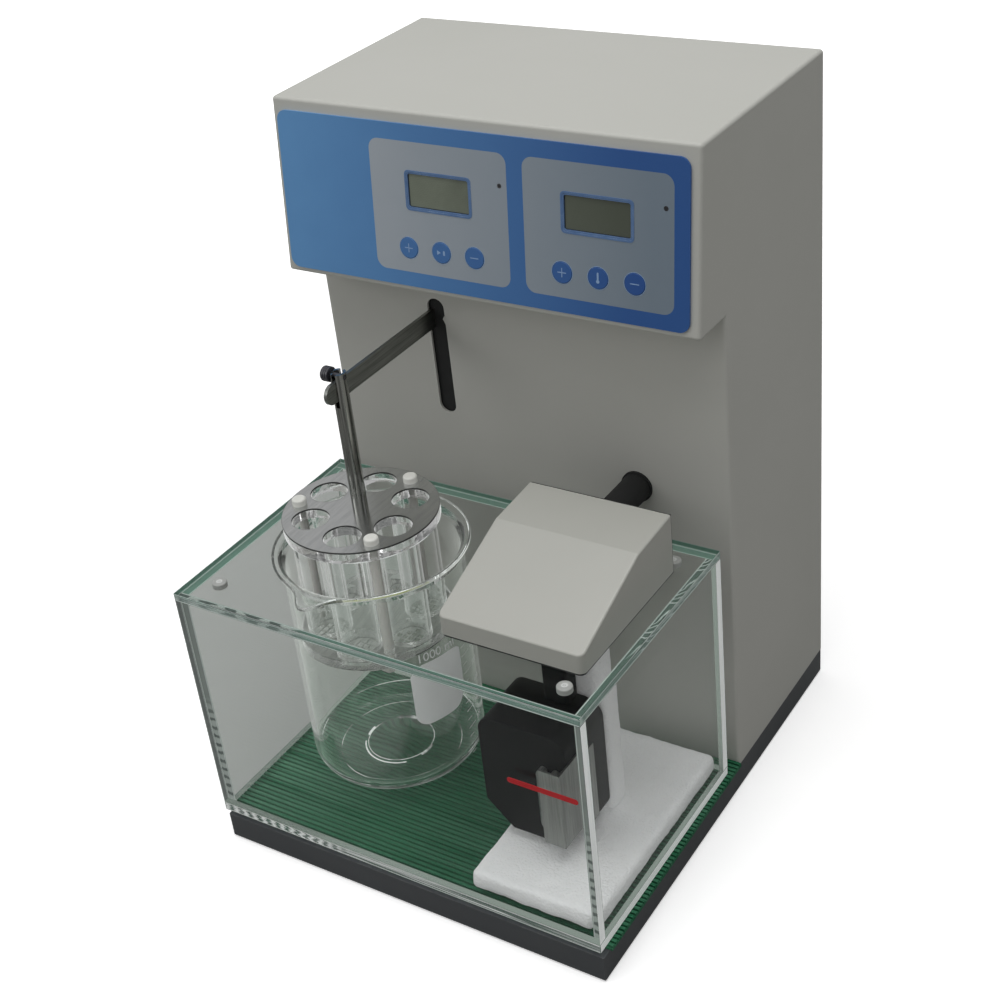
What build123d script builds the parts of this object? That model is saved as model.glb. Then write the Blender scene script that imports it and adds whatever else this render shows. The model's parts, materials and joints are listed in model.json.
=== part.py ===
from build123d import *
import math
import os

# Tablet disintegration tester: a sheet-steel housing with an overhanging control head,
# a water bath of clear sheets, a beaker in the bath's lid, and a basket rack on a lifting arm.
# Millimetres. The origin is under the middle of the whole object, +Z is up and -Y is the front.

# Whole object
overall_height = 420.0
base_width = 262.0
base_depth = 300.0
rear_proud = 4.0
side_overhang = 1.6
base_front_y = -(base_depth + rear_proud) / 2
base_back_y = base_front_y + base_depth
rear_y = base_back_y + rear_proud
half_width = base_width / 2

# Clearances
overrun = 2.0
fit_gap = 0.2
seat_gap = 0.3
running_gap = 0.05
hang_gap = 0.2
edge_break = 0.6

# Base tray and feet
foot_proud = 1.0
base_top_z = 18.0
tray_wall = 2.0
foot_radius = 11.0
foot_inset = 26.0

# Ribbed mat
mat_thickness = 3.0
mat_web = 1.4
mat_setback = 7.0
rib_pitch = 3.3
rib_width = 2.0

# Housing: one folded sheet with a column and a leaning control face
sheet = 1.5
column_depth_share = 0.426666666667
head_top_overhang_depth = 19.5
head_bottom_overhang_depth = 29.7
head_face_height = 100.0
housing_edge_radius = 2.0
rear_flange_width = 12.0
column_depth = base_depth * column_depth_share
column_front_y = base_back_y - column_depth
head_top_y = column_front_y - head_top_overhang_depth
head_bottom_y = column_front_y - head_bottom_overhang_depth
head_bottom_z = overall_height - head_face_height
column_inner_y = column_front_y + sheet
housing_inner_half = half_width - sheet
cover_front_y = base_back_y - sheet
flange_front_y = cover_front_y - sheet
face_rise = overall_height - head_bottom_z
face_lean = head_top_y - head_bottom_y

# Rear cover
vent_count = 9
vent_rows = 2
vent_length = 44.0
vent_width = 3.2
vent_pitch = 9.0
vent_row_gap = 14.0
vent_down_height = 90.0
screw_head_radius = 2.9
screw_head_height = 1.9
screw_shank_radius = 1.5
screw_length = 7.0
cover_screw_rows = 4
vent_z = overall_height - vent_down_height

# Control panel, in the leaning face's own width and height
overlay_side_width = 9.1
overlay_height = 90.2
overlay_shift_x = -1.0
overlay_height_center = 48.7
overlay_thickness = 1.2
overlay_corner = 6.0
field_width_share = 0.342427837
field_height = 72.7
field_corner = 6.0
timer_group_x_share = -0.172519084
bath_group_x_share = 0.561832061
group_height = 48.3
window_width = 42.2
window_height = 22.2
window_corner = 2.5
window_rise = 9.9
bezel_width = 2.6
key_radius = 5.85
key_pitch = 21.2
key_drop = 22.6
key_thickness = 0.9
key_travel = 0.5
key_stem_radius = 1.75
key_float = 0.6
key_entry = 1.0
lamp_radius = 1.3
lamp_inset_width = 4.5
lamp_rise = 18.9
lamp_length = 8.0
board_depth = 12.0
board_thickness = 1.6
board_margin = 2.4
stud_radius = 3.0
stud_inset = 6.0
switch_side = 7.0
switch_height = 5.5
display_cell_margin = 2.0
display_cell_thickness = 2.8
overlay_width = base_width - overlay_side_width
field_width = overlay_width * field_width_share
timer_group_x = half_width * timer_group_x_share
bath_group_x = half_width * bath_group_x_share
lamp_shift_x = field_width / 2 - lamp_inset_width

# Power entry on the rear cover
entry_z = 62.0
inlet_x_share = 0.641221374
inlet_width = 27.0
inlet_height = 46.0
inlet_depth = 24.0
entry_flange_thickness = 2.0
entry_flange_margin = 2.5
socket_width = 24.0
socket_height = 17.0
socket_depth = 16.0
socket_drop = 9.5
contact_width = 4.0
contact_thickness = 2.0
contact_spread = 7.0
contact_rise = 4.5
drawer_width = 23.0
drawer_height = 10.0
drawer_depth = 20.0
drawer_rise = 14.5
drawer_lip = 1.0
switch_apart_width = 44.0
switch_body_width = 22.0
switch_body_height = 29.0
switch_body_depth = 20.0
rocker_width = 16.8
rocker_half_height = 11.5
rocker_face = 5.0
rocker_dish = 1.5
rocker_back = 3.0
rocker_back_share = 0.55
rocker_tilt = 7.0
rocker_pin_radius = 1.5
rocker_pin_reach = 1.6
rocker_well_depth = 12.0
inlet_x = half_width * inlet_x_share
switch_x = inlet_x - switch_apart_width

# Power supply on the base
supply_x_share = 0.503816794
supply_back_depth = 56.0
supply_width = 96.0
supply_depth = 60.0
supply_lift = 6.0
supply_post_inset = 5.0
transformer_width = 42.0
transformer_depth = 36.0
transformer_height = 38.0
supply_x = half_width * supply_x_share
supply_y = base_back_y - supply_back_depth

# Lifting arm and its slot
arm_x_share = -0.431297710
arm_down_height = 32.6
arm_height = 11.6
arm_thickness = 2.0
arm_reach = 13.5
arm_socket_depth = 11.0
stroke = 55.0
rest_below_top = 4.0
slot_width = 11.4
slot_offset = 4.05
slot_above_height = 13.6
slot_below_height = 60.9
arm_x = half_width * arm_x_share
arm_z = head_bottom_z - arm_down_height
slot_x = arm_x + slot_offset
slot_top_z = arm_z + slot_above_height
slot_bottom_z = arm_z - slot_below_height

# Drive inside the column
shield_thickness = 1.0
shield_front_gap = 0.7
shield_side = 12.0
shield_end = 6.0
carriage_front_gap = 5.0
carriage_half_width = 30.0
carriage_depth = 14.0
carriage_half_height = 20.0
boss_half_width = 6.0
boss_half_height = 12.0
guide_spacing = 44.0
guide_radius = 3.0
bush_radius = 6.0
bush_length = 12.0
yoke_depth = 6.0
yoke_rim = 5.0
crank_radius = stroke / 2
crank_rest_angle = 180.0 * rest_below_top / stroke
roller_radius = 4.0
roller_length = 5.0
pin_radius = 2.5
yoke_play = 6.4
yoke_end_play = 1.0
crank_disc_radius = 34.0
crank_disc_thickness = 6.0
crank_disc_gap = 4.0
hub_radius = 9.0
hub_length = 8.0
shaft_radius = 4.0
shaft_entry = 10.0
frame_gap = 4.0
frame_thickness = 2.5
frame_half_width = 49.0
frame_foot = 38.0
block_height = 12.0
block_gap = 8.0
gearbox_side = 60.0
gearbox_depth = 25.0
motor_radius = 21.0
motor_length_share = 0.21875
motor_length = column_depth * motor_length_share

# Basket rack
basket_y_share = 0.516635279
shaft_outer_radius = 4.5
shaft_bore_radius = 3.0
shaft_slit_depth = 20.0
hanger_above = 2.3
hanger_shank_radius = 1.5
knob_radius = 4.3
knob_length = 5.0
knob_groove = 0.4
knob_groove_count = 3
disc_radius = 45.0
basket_rise_height = 27.0
steel_disc_thickness = 1.0
clear_disc_thickness = 6.0
tube_length = 77.5
tube_bore_radius = 10.75
tube_wall = 2.0
tube_circle_radius = 28.8
tube_count = 6
tube_start_angle = -15.0
disc_hole_radius = 11.0
screen_thickness = 0.6
screen_pitch = 4.0
screen_opening = 3.2
bolt_circle_radius = 37.5
bolt_count = 3
bolt_start_angle = -45.0
bolt_radius = 3.0
bolt_cap_radius = 4.2
bolt_cap_height = 4.0
nut_radius = 4.9
nut_height = 5.0
bolt_tail = 1.5
stud_screw_radius = 3.0
shaft_nut_radius = 5.2
shaft_nut_height = 4.0

# Bath of clear sheets
bath_setback = 0.2
bath_back_depth = 12.5
bath_height_share = 0.385714285714
bath_wall = 6.0
lid_thickness = 5.0
lid_knob_radius = 4.3
lid_knob_height = 3.4
lid_knob_dome = 0.8
lid_knob_side_width = 19.0
mark_length = 42.4
mark_width = 3.5
mark_side_width = 26.2
mark_down_height = 56.0
bath_width = base_width
bath_depth = base_depth - column_depth - bath_setback - bath_back_depth
bath_height = overall_height * bath_height_share
bath_left_x = -half_width - side_overhang
bath_right_x = bath_left_x + bath_width
bath_front_y = base_front_y + bath_setback
bath_back_y = bath_front_y + bath_depth
bath_bottom_z = base_top_z + mat_thickness
bath_floor_z = bath_bottom_z + bath_wall
lid_top_z = bath_bottom_z + bath_height
lid_bottom_z = lid_top_z - lid_thickness
lid_knob_half_spread = half_width - lid_knob_side_width
mark_center_x = bath_right_x - mark_side_width
mark_z = lid_top_z - mark_down_height
basket_y = bath_front_y + bath_depth * basket_y_share
disc_top_z = lid_top_z + basket_rise_height

# Beaker
beaker_x_share = -0.423664122
beaker_y_share = 0.535467671
beaker_radius = 52.5
beaker_wall = 2.2
beaker_base = 3.0
beaker_corner = 15.0
beaker_lift_height = 11.0
rim_rise = 3.5
rim_flare_height = 8.0
rim_flare_width = 5.2
spout_reach = 11.0
spout_root_radius = 7.0
spout_tip_radius = 9.0
beaker_x = half_width * beaker_x_share
beaker_y = bath_front_y + bath_depth * beaker_y_share
beaker_bottom_z = bath_floor_z + beaker_lift_height

# Hood over the pump unit
hood_x_share = 0.550381679
hood_width = 87.6
hood_front_y_share = 0.183929692
hood_back_y_share = 0.819836786
hood_front_height = 13.0
hood_crease_y_share = 0.581293158
hood_crease_height = 36.0
hood_top_height = 38.0
hood_wall = 2.0
hood_corner = 4.0
hood_tray_thickness = 1.5
conduit_side_width = 0.7
conduit_rise_height = 21.5
conduit_radius = 8.6
conduit_wall = 2.0
conduit_ring_radius = 9.6
conduit_ring_thickness = 1.5
conduit_nut_radius = 12.0
conduit_nut_thickness = 4.0
knob_before_hood_depth = 12.6
knob_behind_hood_depth = 6.7
hood_x = half_width * hood_x_share
hood_front_y = bath_front_y + bath_depth * hood_front_y_share
hood_back_y = bath_front_y + bath_depth * hood_back_y_share
hood_crease_y = bath_front_y + bath_depth * hood_crease_y_share
conduit_x = hood_x + conduit_side_width
conduit_z = lid_top_z + conduit_rise_height
lid_knob_front_y = hood_front_y - knob_before_hood_depth
lid_knob_back_y = hood_back_y + knob_behind_hood_depth

# Pump unit in the bath
pump_side_width = 35.1
pump_width = 55.0
pump_front_depth = 41.8
pump_depth = 37.0
pump_lift_height = 20.5
pump_height = 76.0
pump_corner = 9.0
pump_bevel = 12.0
stem_side_width = 27.5
stem_width = 15.5
stem_depth = 12.0
impeller_side_width = 25.0
impeller_radius = 12.0
impeller_height = 7.0
impeller_blades = 6
blade_thickness = 1.4
impeller_web = 1.6
chamber_radius = 14.0
chamber_height = 10.0
rotor_radius = 7.0
rotor_height = 32.0
rotor_clearance = 1.0
spindle_radius = 2.0
spindle_entry = 8.0
guard_sheet = 1.2
guard_lift_height = 7.5
guard_height = 52.0
guard_stand_off = 7.5
guard_front_width = 13.5
guard_side_grip = 22.0
heater_radius = 2.4
heater_stand_off = 3.8
heater_bend_radius = 4.0
heater_side_width = 14.0
heater_lift_height = 14.5
heater_height = 38.0
probe_side_width = 17.0
probe_back_depth = 13.0
probe_radius = 2.5
probe_lift_height = 22.5
pump_left_x = hood_x - pump_side_width
pump_right_x = pump_left_x + pump_width
pump_front_y = bath_front_y + pump_front_depth
pump_back_y = pump_front_y + pump_depth
pump_bottom_z = bath_floor_z + pump_lift_height
pump_top_z = pump_bottom_z + pump_height
stem_left_x = pump_left_x + stem_side_width
stem_right_x = stem_left_x + stem_width
stem_front_y = pump_back_y - stem_depth
impeller_x = pump_left_x + impeller_side_width
guard_bottom_z = pump_bottom_z + guard_lift_height
guard_top_z = guard_bottom_z + guard_height
heater_left_x = pump_right_x - heater_side_width
heater_bottom_z = pump_bottom_z + heater_lift_height
heater_entry_z = heater_bottom_z + heater_height
probe_x = pump_left_x + probe_side_width
probe_y = pump_back_y + probe_back_depth
probe_tip_z = pump_bottom_z + probe_lift_height

# Foam under and behind the pump unit
foam_pad_side_width = 28.6
foam_pad_thickness = 14.0
foam_side_gap = 0.6
foam_block_side_width = 4.1
foam_block_width = 26.0
foam_block_front_depth = 0.6
foam_block_depth = 18.0
foam_block_gap = 1.0
foam_block_corner = 5.0
foam_pad_left_x = hood_x - foam_pad_side_width
foam_block_left_x = hood_x - foam_block_side_width
foam_block_right_x = foam_block_left_x + foam_block_width
foam_block_front_y = pump_back_y + foam_block_front_depth
foam_block_back_y = foam_block_front_y + foam_block_depth
foam_block_top_z = lid_bottom_z - foam_block_gap

MIN_ALL = (Align.MIN, Align.MIN, Align.MIN)
ON_FLOOR = (Align.CENTER, Align.CENTER, Align.MIN)
face_plane = Plane(origin=(0, head_bottom_y, head_bottom_z), x_dir=(1, 0, 0), z_dir=(0, -face_rise, face_lean))


def block(x0, x1, y0, y1, z0, z1):
    """A box between two corners."""
    return Pos(x0, y0, z0) * Box(x1 - x0, y1 - y0, z1 - z0, align=MIN_ALL)


def upright(x, y, z0, z1, radius):
    """A cylinder along Z."""
    return Pos(x, y, z0) * Cylinder(radius, z1 - z0, align=ON_FLOOR)


def along_y(x, z, y0, y1, radius):
    """A cylinder along Y."""
    return Pos(x, y0, z) * Rot(-90, 0, 0) * Cylinder(radius, y1 - y0, align=ON_FLOOR)


def along_x(y, z, x0, x1, radius):
    """A cylinder along X."""
    return Pos(x0, y, z) * Rot(0, 90, 0) * Cylinder(radius, x1 - x0, align=ON_FLOOR)


def side_prism(points, x0, x1):
    """A prism along X over an outline in Y and Z."""
    face = Plane.YZ * make_face(Polyline(*points, close=True))
    return Pos(x0, 0, 0) * extrude(face, amount=x1 - x0)


def on_face(x, height, depth, shape):
    """Place a shape on the leaning control face, its own Z pointing out of the face."""
    return face_plane * Pos(x, height, depth) * shape


def rounded_plate(width, height, corner, thickness):
    """A plate with rounded corners, from its own Z of zero up."""
    return extrude(RectangleRounded(width, height, corner), amount=thickness)


def polar(x, y, radius, degrees):
    """A point on a circle around an upright axis."""
    angle = math.radians(degrees)
    return x + radius * math.cos(angle), y + radius * math.sin(angle)


def group(shapes):
    """Several separate solids kept in one node."""
    return Compound([solid for shape in shapes for solid in shape.solids()])


def save(name, shape):
    """Write one node."""
    export_step(shape, "parts/" + name + ".step")


def panel_groups():
    """The two halves of the control panel, as places on the leaning face."""
    return [(timer_group_x, group_height), (bath_group_x, group_height)]


def key_places(group_x, group_y):
    """The places of the three keys of one half."""
    return [(group_x + step * key_pitch, group_y - key_drop) for step in (-1, 0, 1)]


def stud_places(group_x, group_y):
    """The places of the four studs that carry one control board."""
    dx = (field_width - board_margin) / 2 - stud_inset
    dy = (field_height - board_margin) / 2 - stud_inset
    return [(group_x + sx * dx, group_y + sy * dy) for sx in (-1, 1) for sy in (-1, 1)]


def cover_screw_places():
    """The places of the rear cover's screws, in X and Z."""
    x = housing_inner_half - rear_flange_width / 2
    low = base_top_z + rear_flange_width / 2
    high = overall_height - sheet - rear_flange_width / 2
    step = (high - low) / (cover_screw_rows - 1)
    return [(side * x, low + row * step) for side in (-1, 1) for row in range(cover_screw_rows)]


def make_base():
    """The base tray, the feet and the ribbed mat."""
    tray = block(-half_width, half_width, base_front_y, base_back_y, foot_proud, base_top_z)
    tray = fillet(tray.edges().filter_by(Axis.Z), edge_break)
    hollow = block(-half_width + tray_wall, half_width - tray_wall, base_front_y + tray_wall,
                   base_back_y - tray_wall, foot_proud - overrun, base_top_z - tray_wall)
    save("base_tray", tray - hollow)

    feet = []
    for x in (-half_width + foot_inset, half_width - foot_inset):
        for y in (base_front_y + foot_inset, base_back_y - foot_inset):
            foot = upright(x, y, 0, base_top_z - tray_wall, foot_radius)
            feet.append(chamfer(foot.edges().group_by(Axis.Z)[0], foot_proud / 2))
    save("rubber_feet", group(feet))

    front = base_front_y + mat_setback
    back = column_front_y
    count = int((back - front - rib_width) / rib_pitch) + 1
    start = front + (back - front - rib_width - (count - 1) * rib_pitch) / 2
    outline = [(front, base_top_z), (front, base_top_z + mat_web)]
    for rib in range(count):
        rib_y = start + rib * rib_pitch
        outline.append((rib_y, base_top_z + mat_web))
        outline.append((rib_y, bath_bottom_z))
        outline.append((rib_y + rib_width, bath_bottom_z))
        outline.append((rib_y + rib_width, base_top_z + mat_web))
    outline += [(back, base_top_z + mat_web), (back, base_top_z)]
    save("ribbed_mat", side_prism(outline, -half_width, half_width + side_overhang))


def make_housing():
    """The housing shell, its rear cover and the cover's screws."""
    outer_profile = [(base_back_y, base_top_z), (base_back_y, overall_height), (head_top_y, overall_height),
                     (head_bottom_y, head_bottom_z), (column_front_y, head_bottom_z),
                     (column_front_y, base_top_z)]
    shell = side_prism(outer_profile, -half_width, half_width)
    rounded = [edge for edge in shell.edges()
               if edge.center().Z > base_top_z + sheet and edge.center().Y < base_back_y - sheet
               and abs(edge.center().Y - column_front_y) + abs(edge.center().Z - head_bottom_z) > sheet]
    shell = fillet(rounded, housing_edge_radius)

    lean = math.atan2(face_lean, face_rise)
    face_inset = sheet / math.cos(lean)
    slope = face_lean / face_rise
    low_y = head_bottom_y + face_inset + sheet * slope
    high_y = head_top_y + face_inset - sheet * slope
    inner_profile = [(flange_front_y, base_top_z - overrun), (flange_front_y, overall_height - sheet),
                     (high_y, overall_height - sheet), (low_y, head_bottom_z + sheet),
                     (column_inner_y, head_bottom_z + sheet), (column_inner_y, base_top_z - overrun)]
    shell -= side_prism(inner_profile, -housing_inner_half, housing_inner_half)
    inside = housing_inner_half - rear_flange_width
    shell -= block(-inside, inside, flange_front_y - overrun, base_back_y + overrun,
                   base_top_z + rear_flange_width, overall_height - sheet - rear_flange_width)
    shell -= block(-housing_inner_half, housing_inner_half, cover_front_y, base_back_y + overrun,
                   base_top_z - overrun, overall_height - sheet)

    slot_height = slot_top_z - slot_bottom_z
    slot = extrude(Plane.XZ * SlotOverall(slot_height, slot_width, rotation=90), amount=sheet + 2 * overrun)
    shell -= Pos(slot_x, column_inner_y + overrun, (slot_top_z + slot_bottom_z) / 2) * slot
    shell -= along_y(conduit_x, conduit_z, column_front_y - overrun, column_inner_y + overrun,
                     conduit_radius + fit_gap)

    deep = sheet + 2 * overrun
    for group_x, group_y in panel_groups():
        opening = Box(window_width - 2 * bezel_width, window_height - 2 * bezel_width, deep)
        shell -= on_face(group_x, group_y + window_rise, -sheet / 2, opening)
        for x, y in key_places(group_x, group_y):
            shell -= on_face(x, y, -sheet / 2, Cylinder(key_stem_radius + fit_gap, deep))
        shell -= on_face(group_x + lamp_shift_x, group_y + lamp_rise, -sheet / 2,
                         Cylinder(lamp_radius + running_gap, deep))
        for x, y in stud_places(group_x, group_y):
            length = board_depth - sheet / 2
            shell += on_face(x, y, -board_depth, Cylinder(stud_radius, length, align=ON_FLOOR))
    for x, z in cover_screw_places():
        shell -= along_y(x, z, flange_front_y - overrun, base_back_y + overrun, screw_shank_radius + running_gap)
    save("housing_shell", shell)

    edge = housing_inner_half - seat_gap
    cover = block(-edge, edge, cover_front_y, base_back_y, base_top_z + seat_gap,
                  overall_height - sheet - seat_gap)
    row_step = vent_length + vent_row_gap
    for row in range(vent_rows):
        for vent in range(vent_count):
            x = (row - (vent_rows - 1) / 2) * row_step
            z = vent_z + (vent - (vent_count - 1) / 2) * vent_pitch
            cut = extrude(Plane.XZ * SlotOverall(vent_length, vent_width), amount=deep)
            cover -= Pos(x, base_back_y + overrun, z) * cut
    inlet_cut_x = inlet_width / 2 + fit_gap
    inlet_cut_z = inlet_height / 2 + fit_gap
    cover -= block(inlet_x - inlet_cut_x, inlet_x + inlet_cut_x, cover_front_y - overrun,
                   base_back_y + overrun, entry_z - inlet_cut_z, entry_z + inlet_cut_z)
    switch_cut_x = switch_body_width / 2 + fit_gap
    switch_cut_z = switch_body_height / 2 + fit_gap
    cover -= block(switch_x - switch_cut_x, switch_x + switch_cut_x, cover_front_y - overrun,
                   base_back_y + overrun, entry_z - switch_cut_z, entry_z + switch_cut_z)
    for x, z in cover_screw_places():
        cover -= along_y(x, z, cover_front_y - overrun, base_back_y + overrun, screw_shank_radius + fit_gap)
    save("rear_cover", cover)

    screws = []
    for x, z in cover_screw_places():
        head = along_y(x, z, base_back_y, base_back_y + screw_head_height, screw_head_radius)
        head = fillet(head.edges().group_by(Axis.Y)[-1], screw_head_height / 2)
        shank = along_y(x, z, base_back_y - screw_length, base_back_y + edge_break, screw_shank_radius)
        drive = Pos(x, base_back_y + screw_head_height, z) * Box(screw_head_radius, edge_break, edge_break)
        cross = Pos(x, base_back_y + screw_head_height, z) * Box(edge_break, edge_break, screw_head_radius)
        screws.append(head + shank - drive - cross)
    save("cover_screws", group(screws))


def make_panel():
    """The control panel: overlay, fields, windows, keys, lamps, displays and boards."""
    overlay = on_face(overlay_shift_x, overlay_height_center, 0,
                      rounded_plate(overlay_width, overlay_height, overlay_corner, overlay_thickness))
    fields = []
    windows = []
    lamps = []
    displays = []
    boards = []
    for group_x, group_y in panel_groups():
        field = on_face(group_x, group_y, 0,
                        rounded_plate(field_width, field_height, field_corner, overlay_thickness))
        overlay -= field
        window = on_face(group_x, group_y + window_rise, 0,
                         rounded_plate(window_width, window_height, window_corner, overlay_thickness))
        field -= window
        for x, y in key_places(group_x, group_y):
            field -= on_face(x, y, overlay_thickness / 2, Cylinder(key_radius + fit_gap, 2 * overlay_thickness))
        lamp_x = group_x + lamp_shift_x
        lamp_y = group_y + lamp_rise
        field -= on_face(lamp_x, lamp_y, overlay_thickness / 2,
                         Cylinder(lamp_radius + running_gap, 2 * overlay_thickness))
        lamp_depth = board_depth - overlay_thickness
        stem = Cylinder(lamp_radius, overlay_thickness + lamp_depth + overlay_thickness, align=ON_FLOOR)
        lamps.append(on_face(lamp_x, lamp_y, -board_depth, stem))
        fields.append(field)
        windows.append(window)

        cell = Box(window_width + display_cell_margin, window_height + display_cell_margin,
                   display_cell_thickness, align=(Align.CENTER, Align.CENTER, Align.MAX))
        body = Box(window_width - display_cell_margin, window_height - display_cell_margin,
                   board_depth - sheet, align=(Align.CENTER, Align.CENTER, Align.MAX))
        displays.append(on_face(group_x, group_y + window_rise, -sheet, cell + body))

        board = on_face(group_x, group_y, -board_depth - board_thickness,
                        Box(field_width - board_margin, field_height - board_margin, board_thickness,
                            align=ON_FLOOR))
        for x, y in key_places(group_x, group_y):
            body = Box(switch_side, switch_side, switch_height, align=ON_FLOOR)
            bore_depth = key_entry + 2 * key_travel
            bore = Pos(0, 0, switch_height - bore_depth) * Cylinder(
                key_stem_radius + running_gap, bore_depth + overrun, align=ON_FLOOR)
            board += on_face(x, y, -board_depth, body - bore)
        boards.append(board)
    save("panel_overlay", overlay)
    save("panel_fields", group(fields))
    save("display_windows", group(windows))
    save("indicator_lamps", group(lamps))
    save("display_modules", group(displays))
    save("control_boards", group(boards))

    names = [("timer_key_plus", "timer_key_run", "timer_key_minus"),
             ("bath_key_plus", "bath_key_heat", "bath_key_minus")]
    for (group_x, group_y), row in zip(panel_groups(), names):
        for (x, y), name in zip(key_places(group_x, group_y), row):
            cap = Pos(0, 0, key_float) * Cylinder(key_radius, key_thickness, align=ON_FLOOR)
            cap = fillet(cap.edges().group_by(Axis.Z)[-1], key_thickness / 3)
            stem_bottom = -board_depth + switch_height - key_entry
            stem = Pos(0, 0, stem_bottom) * Cylinder(key_stem_radius, key_float - stem_bottom, align=ON_FLOOR)
            save(name, on_face(x, y, 0, cap + stem))


def make_power_entry():
    """The inlet with its fuse drawer, the switch, and the supply on the base."""
    flange_y = base_back_y + entry_flange_thickness
    half_x = inlet_width / 2
    half_z = inlet_height / 2
    body = block(inlet_x - half_x, inlet_x + half_x, base_back_y - inlet_depth, base_back_y,
                 entry_z - half_z, entry_z + half_z)
    reach = entry_flange_margin
    flange = block(inlet_x - half_x - reach, inlet_x + half_x + reach, base_back_y, flange_y,
                   entry_z - half_z - reach, entry_z + half_z + reach)
    flange = fillet(flange.edges().filter_by(Axis.Y), reach)
    inlet = body + flange
    socket_z = entry_z - socket_drop
    socket = block(inlet_x - socket_width / 2, inlet_x + socket_width / 2, flange_y - socket_depth,
                   flange_y + overrun, socket_z - socket_height / 2, socket_z + socket_height / 2)
    socket = chamfer(socket.edges().filter_by(Axis.Y).group_by(Axis.Z)[-1], socket_height / 4)
    inlet -= socket
    contact_length = socket_depth - entry_flange_thickness
    contact_y = flange_y - socket_depth
    for x, z in ((-contact_spread, 0), (0, contact_rise), (contact_spread, 0)):
        inlet += block(inlet_x + x - contact_thickness / 2, inlet_x + x + contact_thickness / 2,
                       contact_y, contact_y + contact_length,
                       socket_z + z - contact_width / 2, socket_z + z + contact_width / 2)
    drawer_z = entry_z + drawer_rise
    gap = running_gap
    inlet -= block(inlet_x - drawer_width / 2 - gap, inlet_x + drawer_width / 2 + gap,
                   flange_y - drawer_depth, flange_y + overrun,
                   drawer_z - drawer_height / 2 - gap, drawer_z + drawer_height / 2 + gap)
    save("power_inlet", inlet)

    drawer = block(inlet_x - drawer_width / 2, inlet_x + drawer_width / 2,
                   flange_y - drawer_depth + seat_gap, flange_y + drawer_lip,
                   drawer_z - drawer_height / 2, drawer_z + drawer_height / 2)
    notch = block(inlet_x - drawer_width / 4, inlet_x + drawer_width / 4, flange_y, flange_y + overrun,
                  drawer_z - drawer_height / 2 - overrun, drawer_z - drawer_height / 4)
    save("fuse_drawer", drawer - notch)

    tilt = math.radians(rocker_tilt)
    end_y = rocker_face + rocker_dish
    pivot_y = rear_y - end_y * math.cos(tilt) - rocker_half_height * math.sin(tilt)
    back_z = rocker_half_height * rocker_back_share
    profile = [(end_y, -rocker_half_height), (rocker_face, 0), (end_y, rocker_half_height),
               (0, rocker_half_height), (-rocker_back, back_z), (-rocker_back, -back_z),
               (0, -rocker_half_height)]
    rocker = side_prism(profile, -rocker_width / 2, rocker_width / 2)
    pin_end = rocker_width / 2 + rocker_pin_reach
    rocker += along_x(0, 0, -pin_end, pin_end, rocker_pin_radius)
    save("switch_rocker", Pos(switch_x, pivot_y, entry_z) * Rot(-rocker_tilt, 0, 0) * rocker)

    half_x = switch_body_width / 2
    half_z = switch_body_height / 2
    body = block(switch_x - half_x, switch_x + half_x, base_back_y - switch_body_depth, base_back_y,
                 entry_z - half_z, entry_z + half_z)
    flange = block(switch_x - half_x - reach, switch_x + half_x + reach, base_back_y, flange_y,
                   entry_z - half_z - reach, entry_z + half_z + reach)
    flange = fillet(flange.edges().filter_by(Axis.Y), reach)
    well_x = rocker_width / 2 + fit_gap
    well_z = math.hypot(end_y, rocker_half_height) + fit_gap
    well = block(switch_x - well_x, switch_x + well_x, flange_y - rocker_well_depth, flange_y + overrun,
                 entry_z - well_z, entry_z + well_z)
    bore = along_x(pivot_y, entry_z, switch_x - pin_end - fit_gap, switch_x + pin_end + fit_gap,
                   rocker_pin_radius + running_gap)
    save("switch_frame", body + flange - well - bore)

    left = supply_x - supply_width / 2
    right = supply_x + supply_width / 2
    front = supply_y - supply_depth / 2
    back = supply_y + supply_depth / 2
    board_z = base_top_z + supply_lift
    supply = block(left, right, front, back, board_z, board_z + board_thickness)
    for x in (left + supply_post_inset, right - supply_post_inset):
        for y in (front + supply_post_inset, back - supply_post_inset):
            supply += upright(x, y, base_top_z, board_z + board_thickness, stud_radius)
    core_x = left + supply_post_inset * 2
    core_y = supply_y - transformer_depth / 2
    core = block(core_x, core_x + transformer_width, core_y, core_y + transformer_depth,
                 board_z + board_thickness, board_z + board_thickness + transformer_height)
    supply += fillet(core.edges().filter_by(Axis.Z), edge_break * 2)
    can_x = right - supply_post_inset * 4
    for y in (supply_y - supply_depth / 5, supply_y + supply_depth / 5):
        supply += upright(can_x, y, board_z, board_z + transformer_height * 2 / 3, supply_depth / 8)
    save("power_supply", supply)


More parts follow.
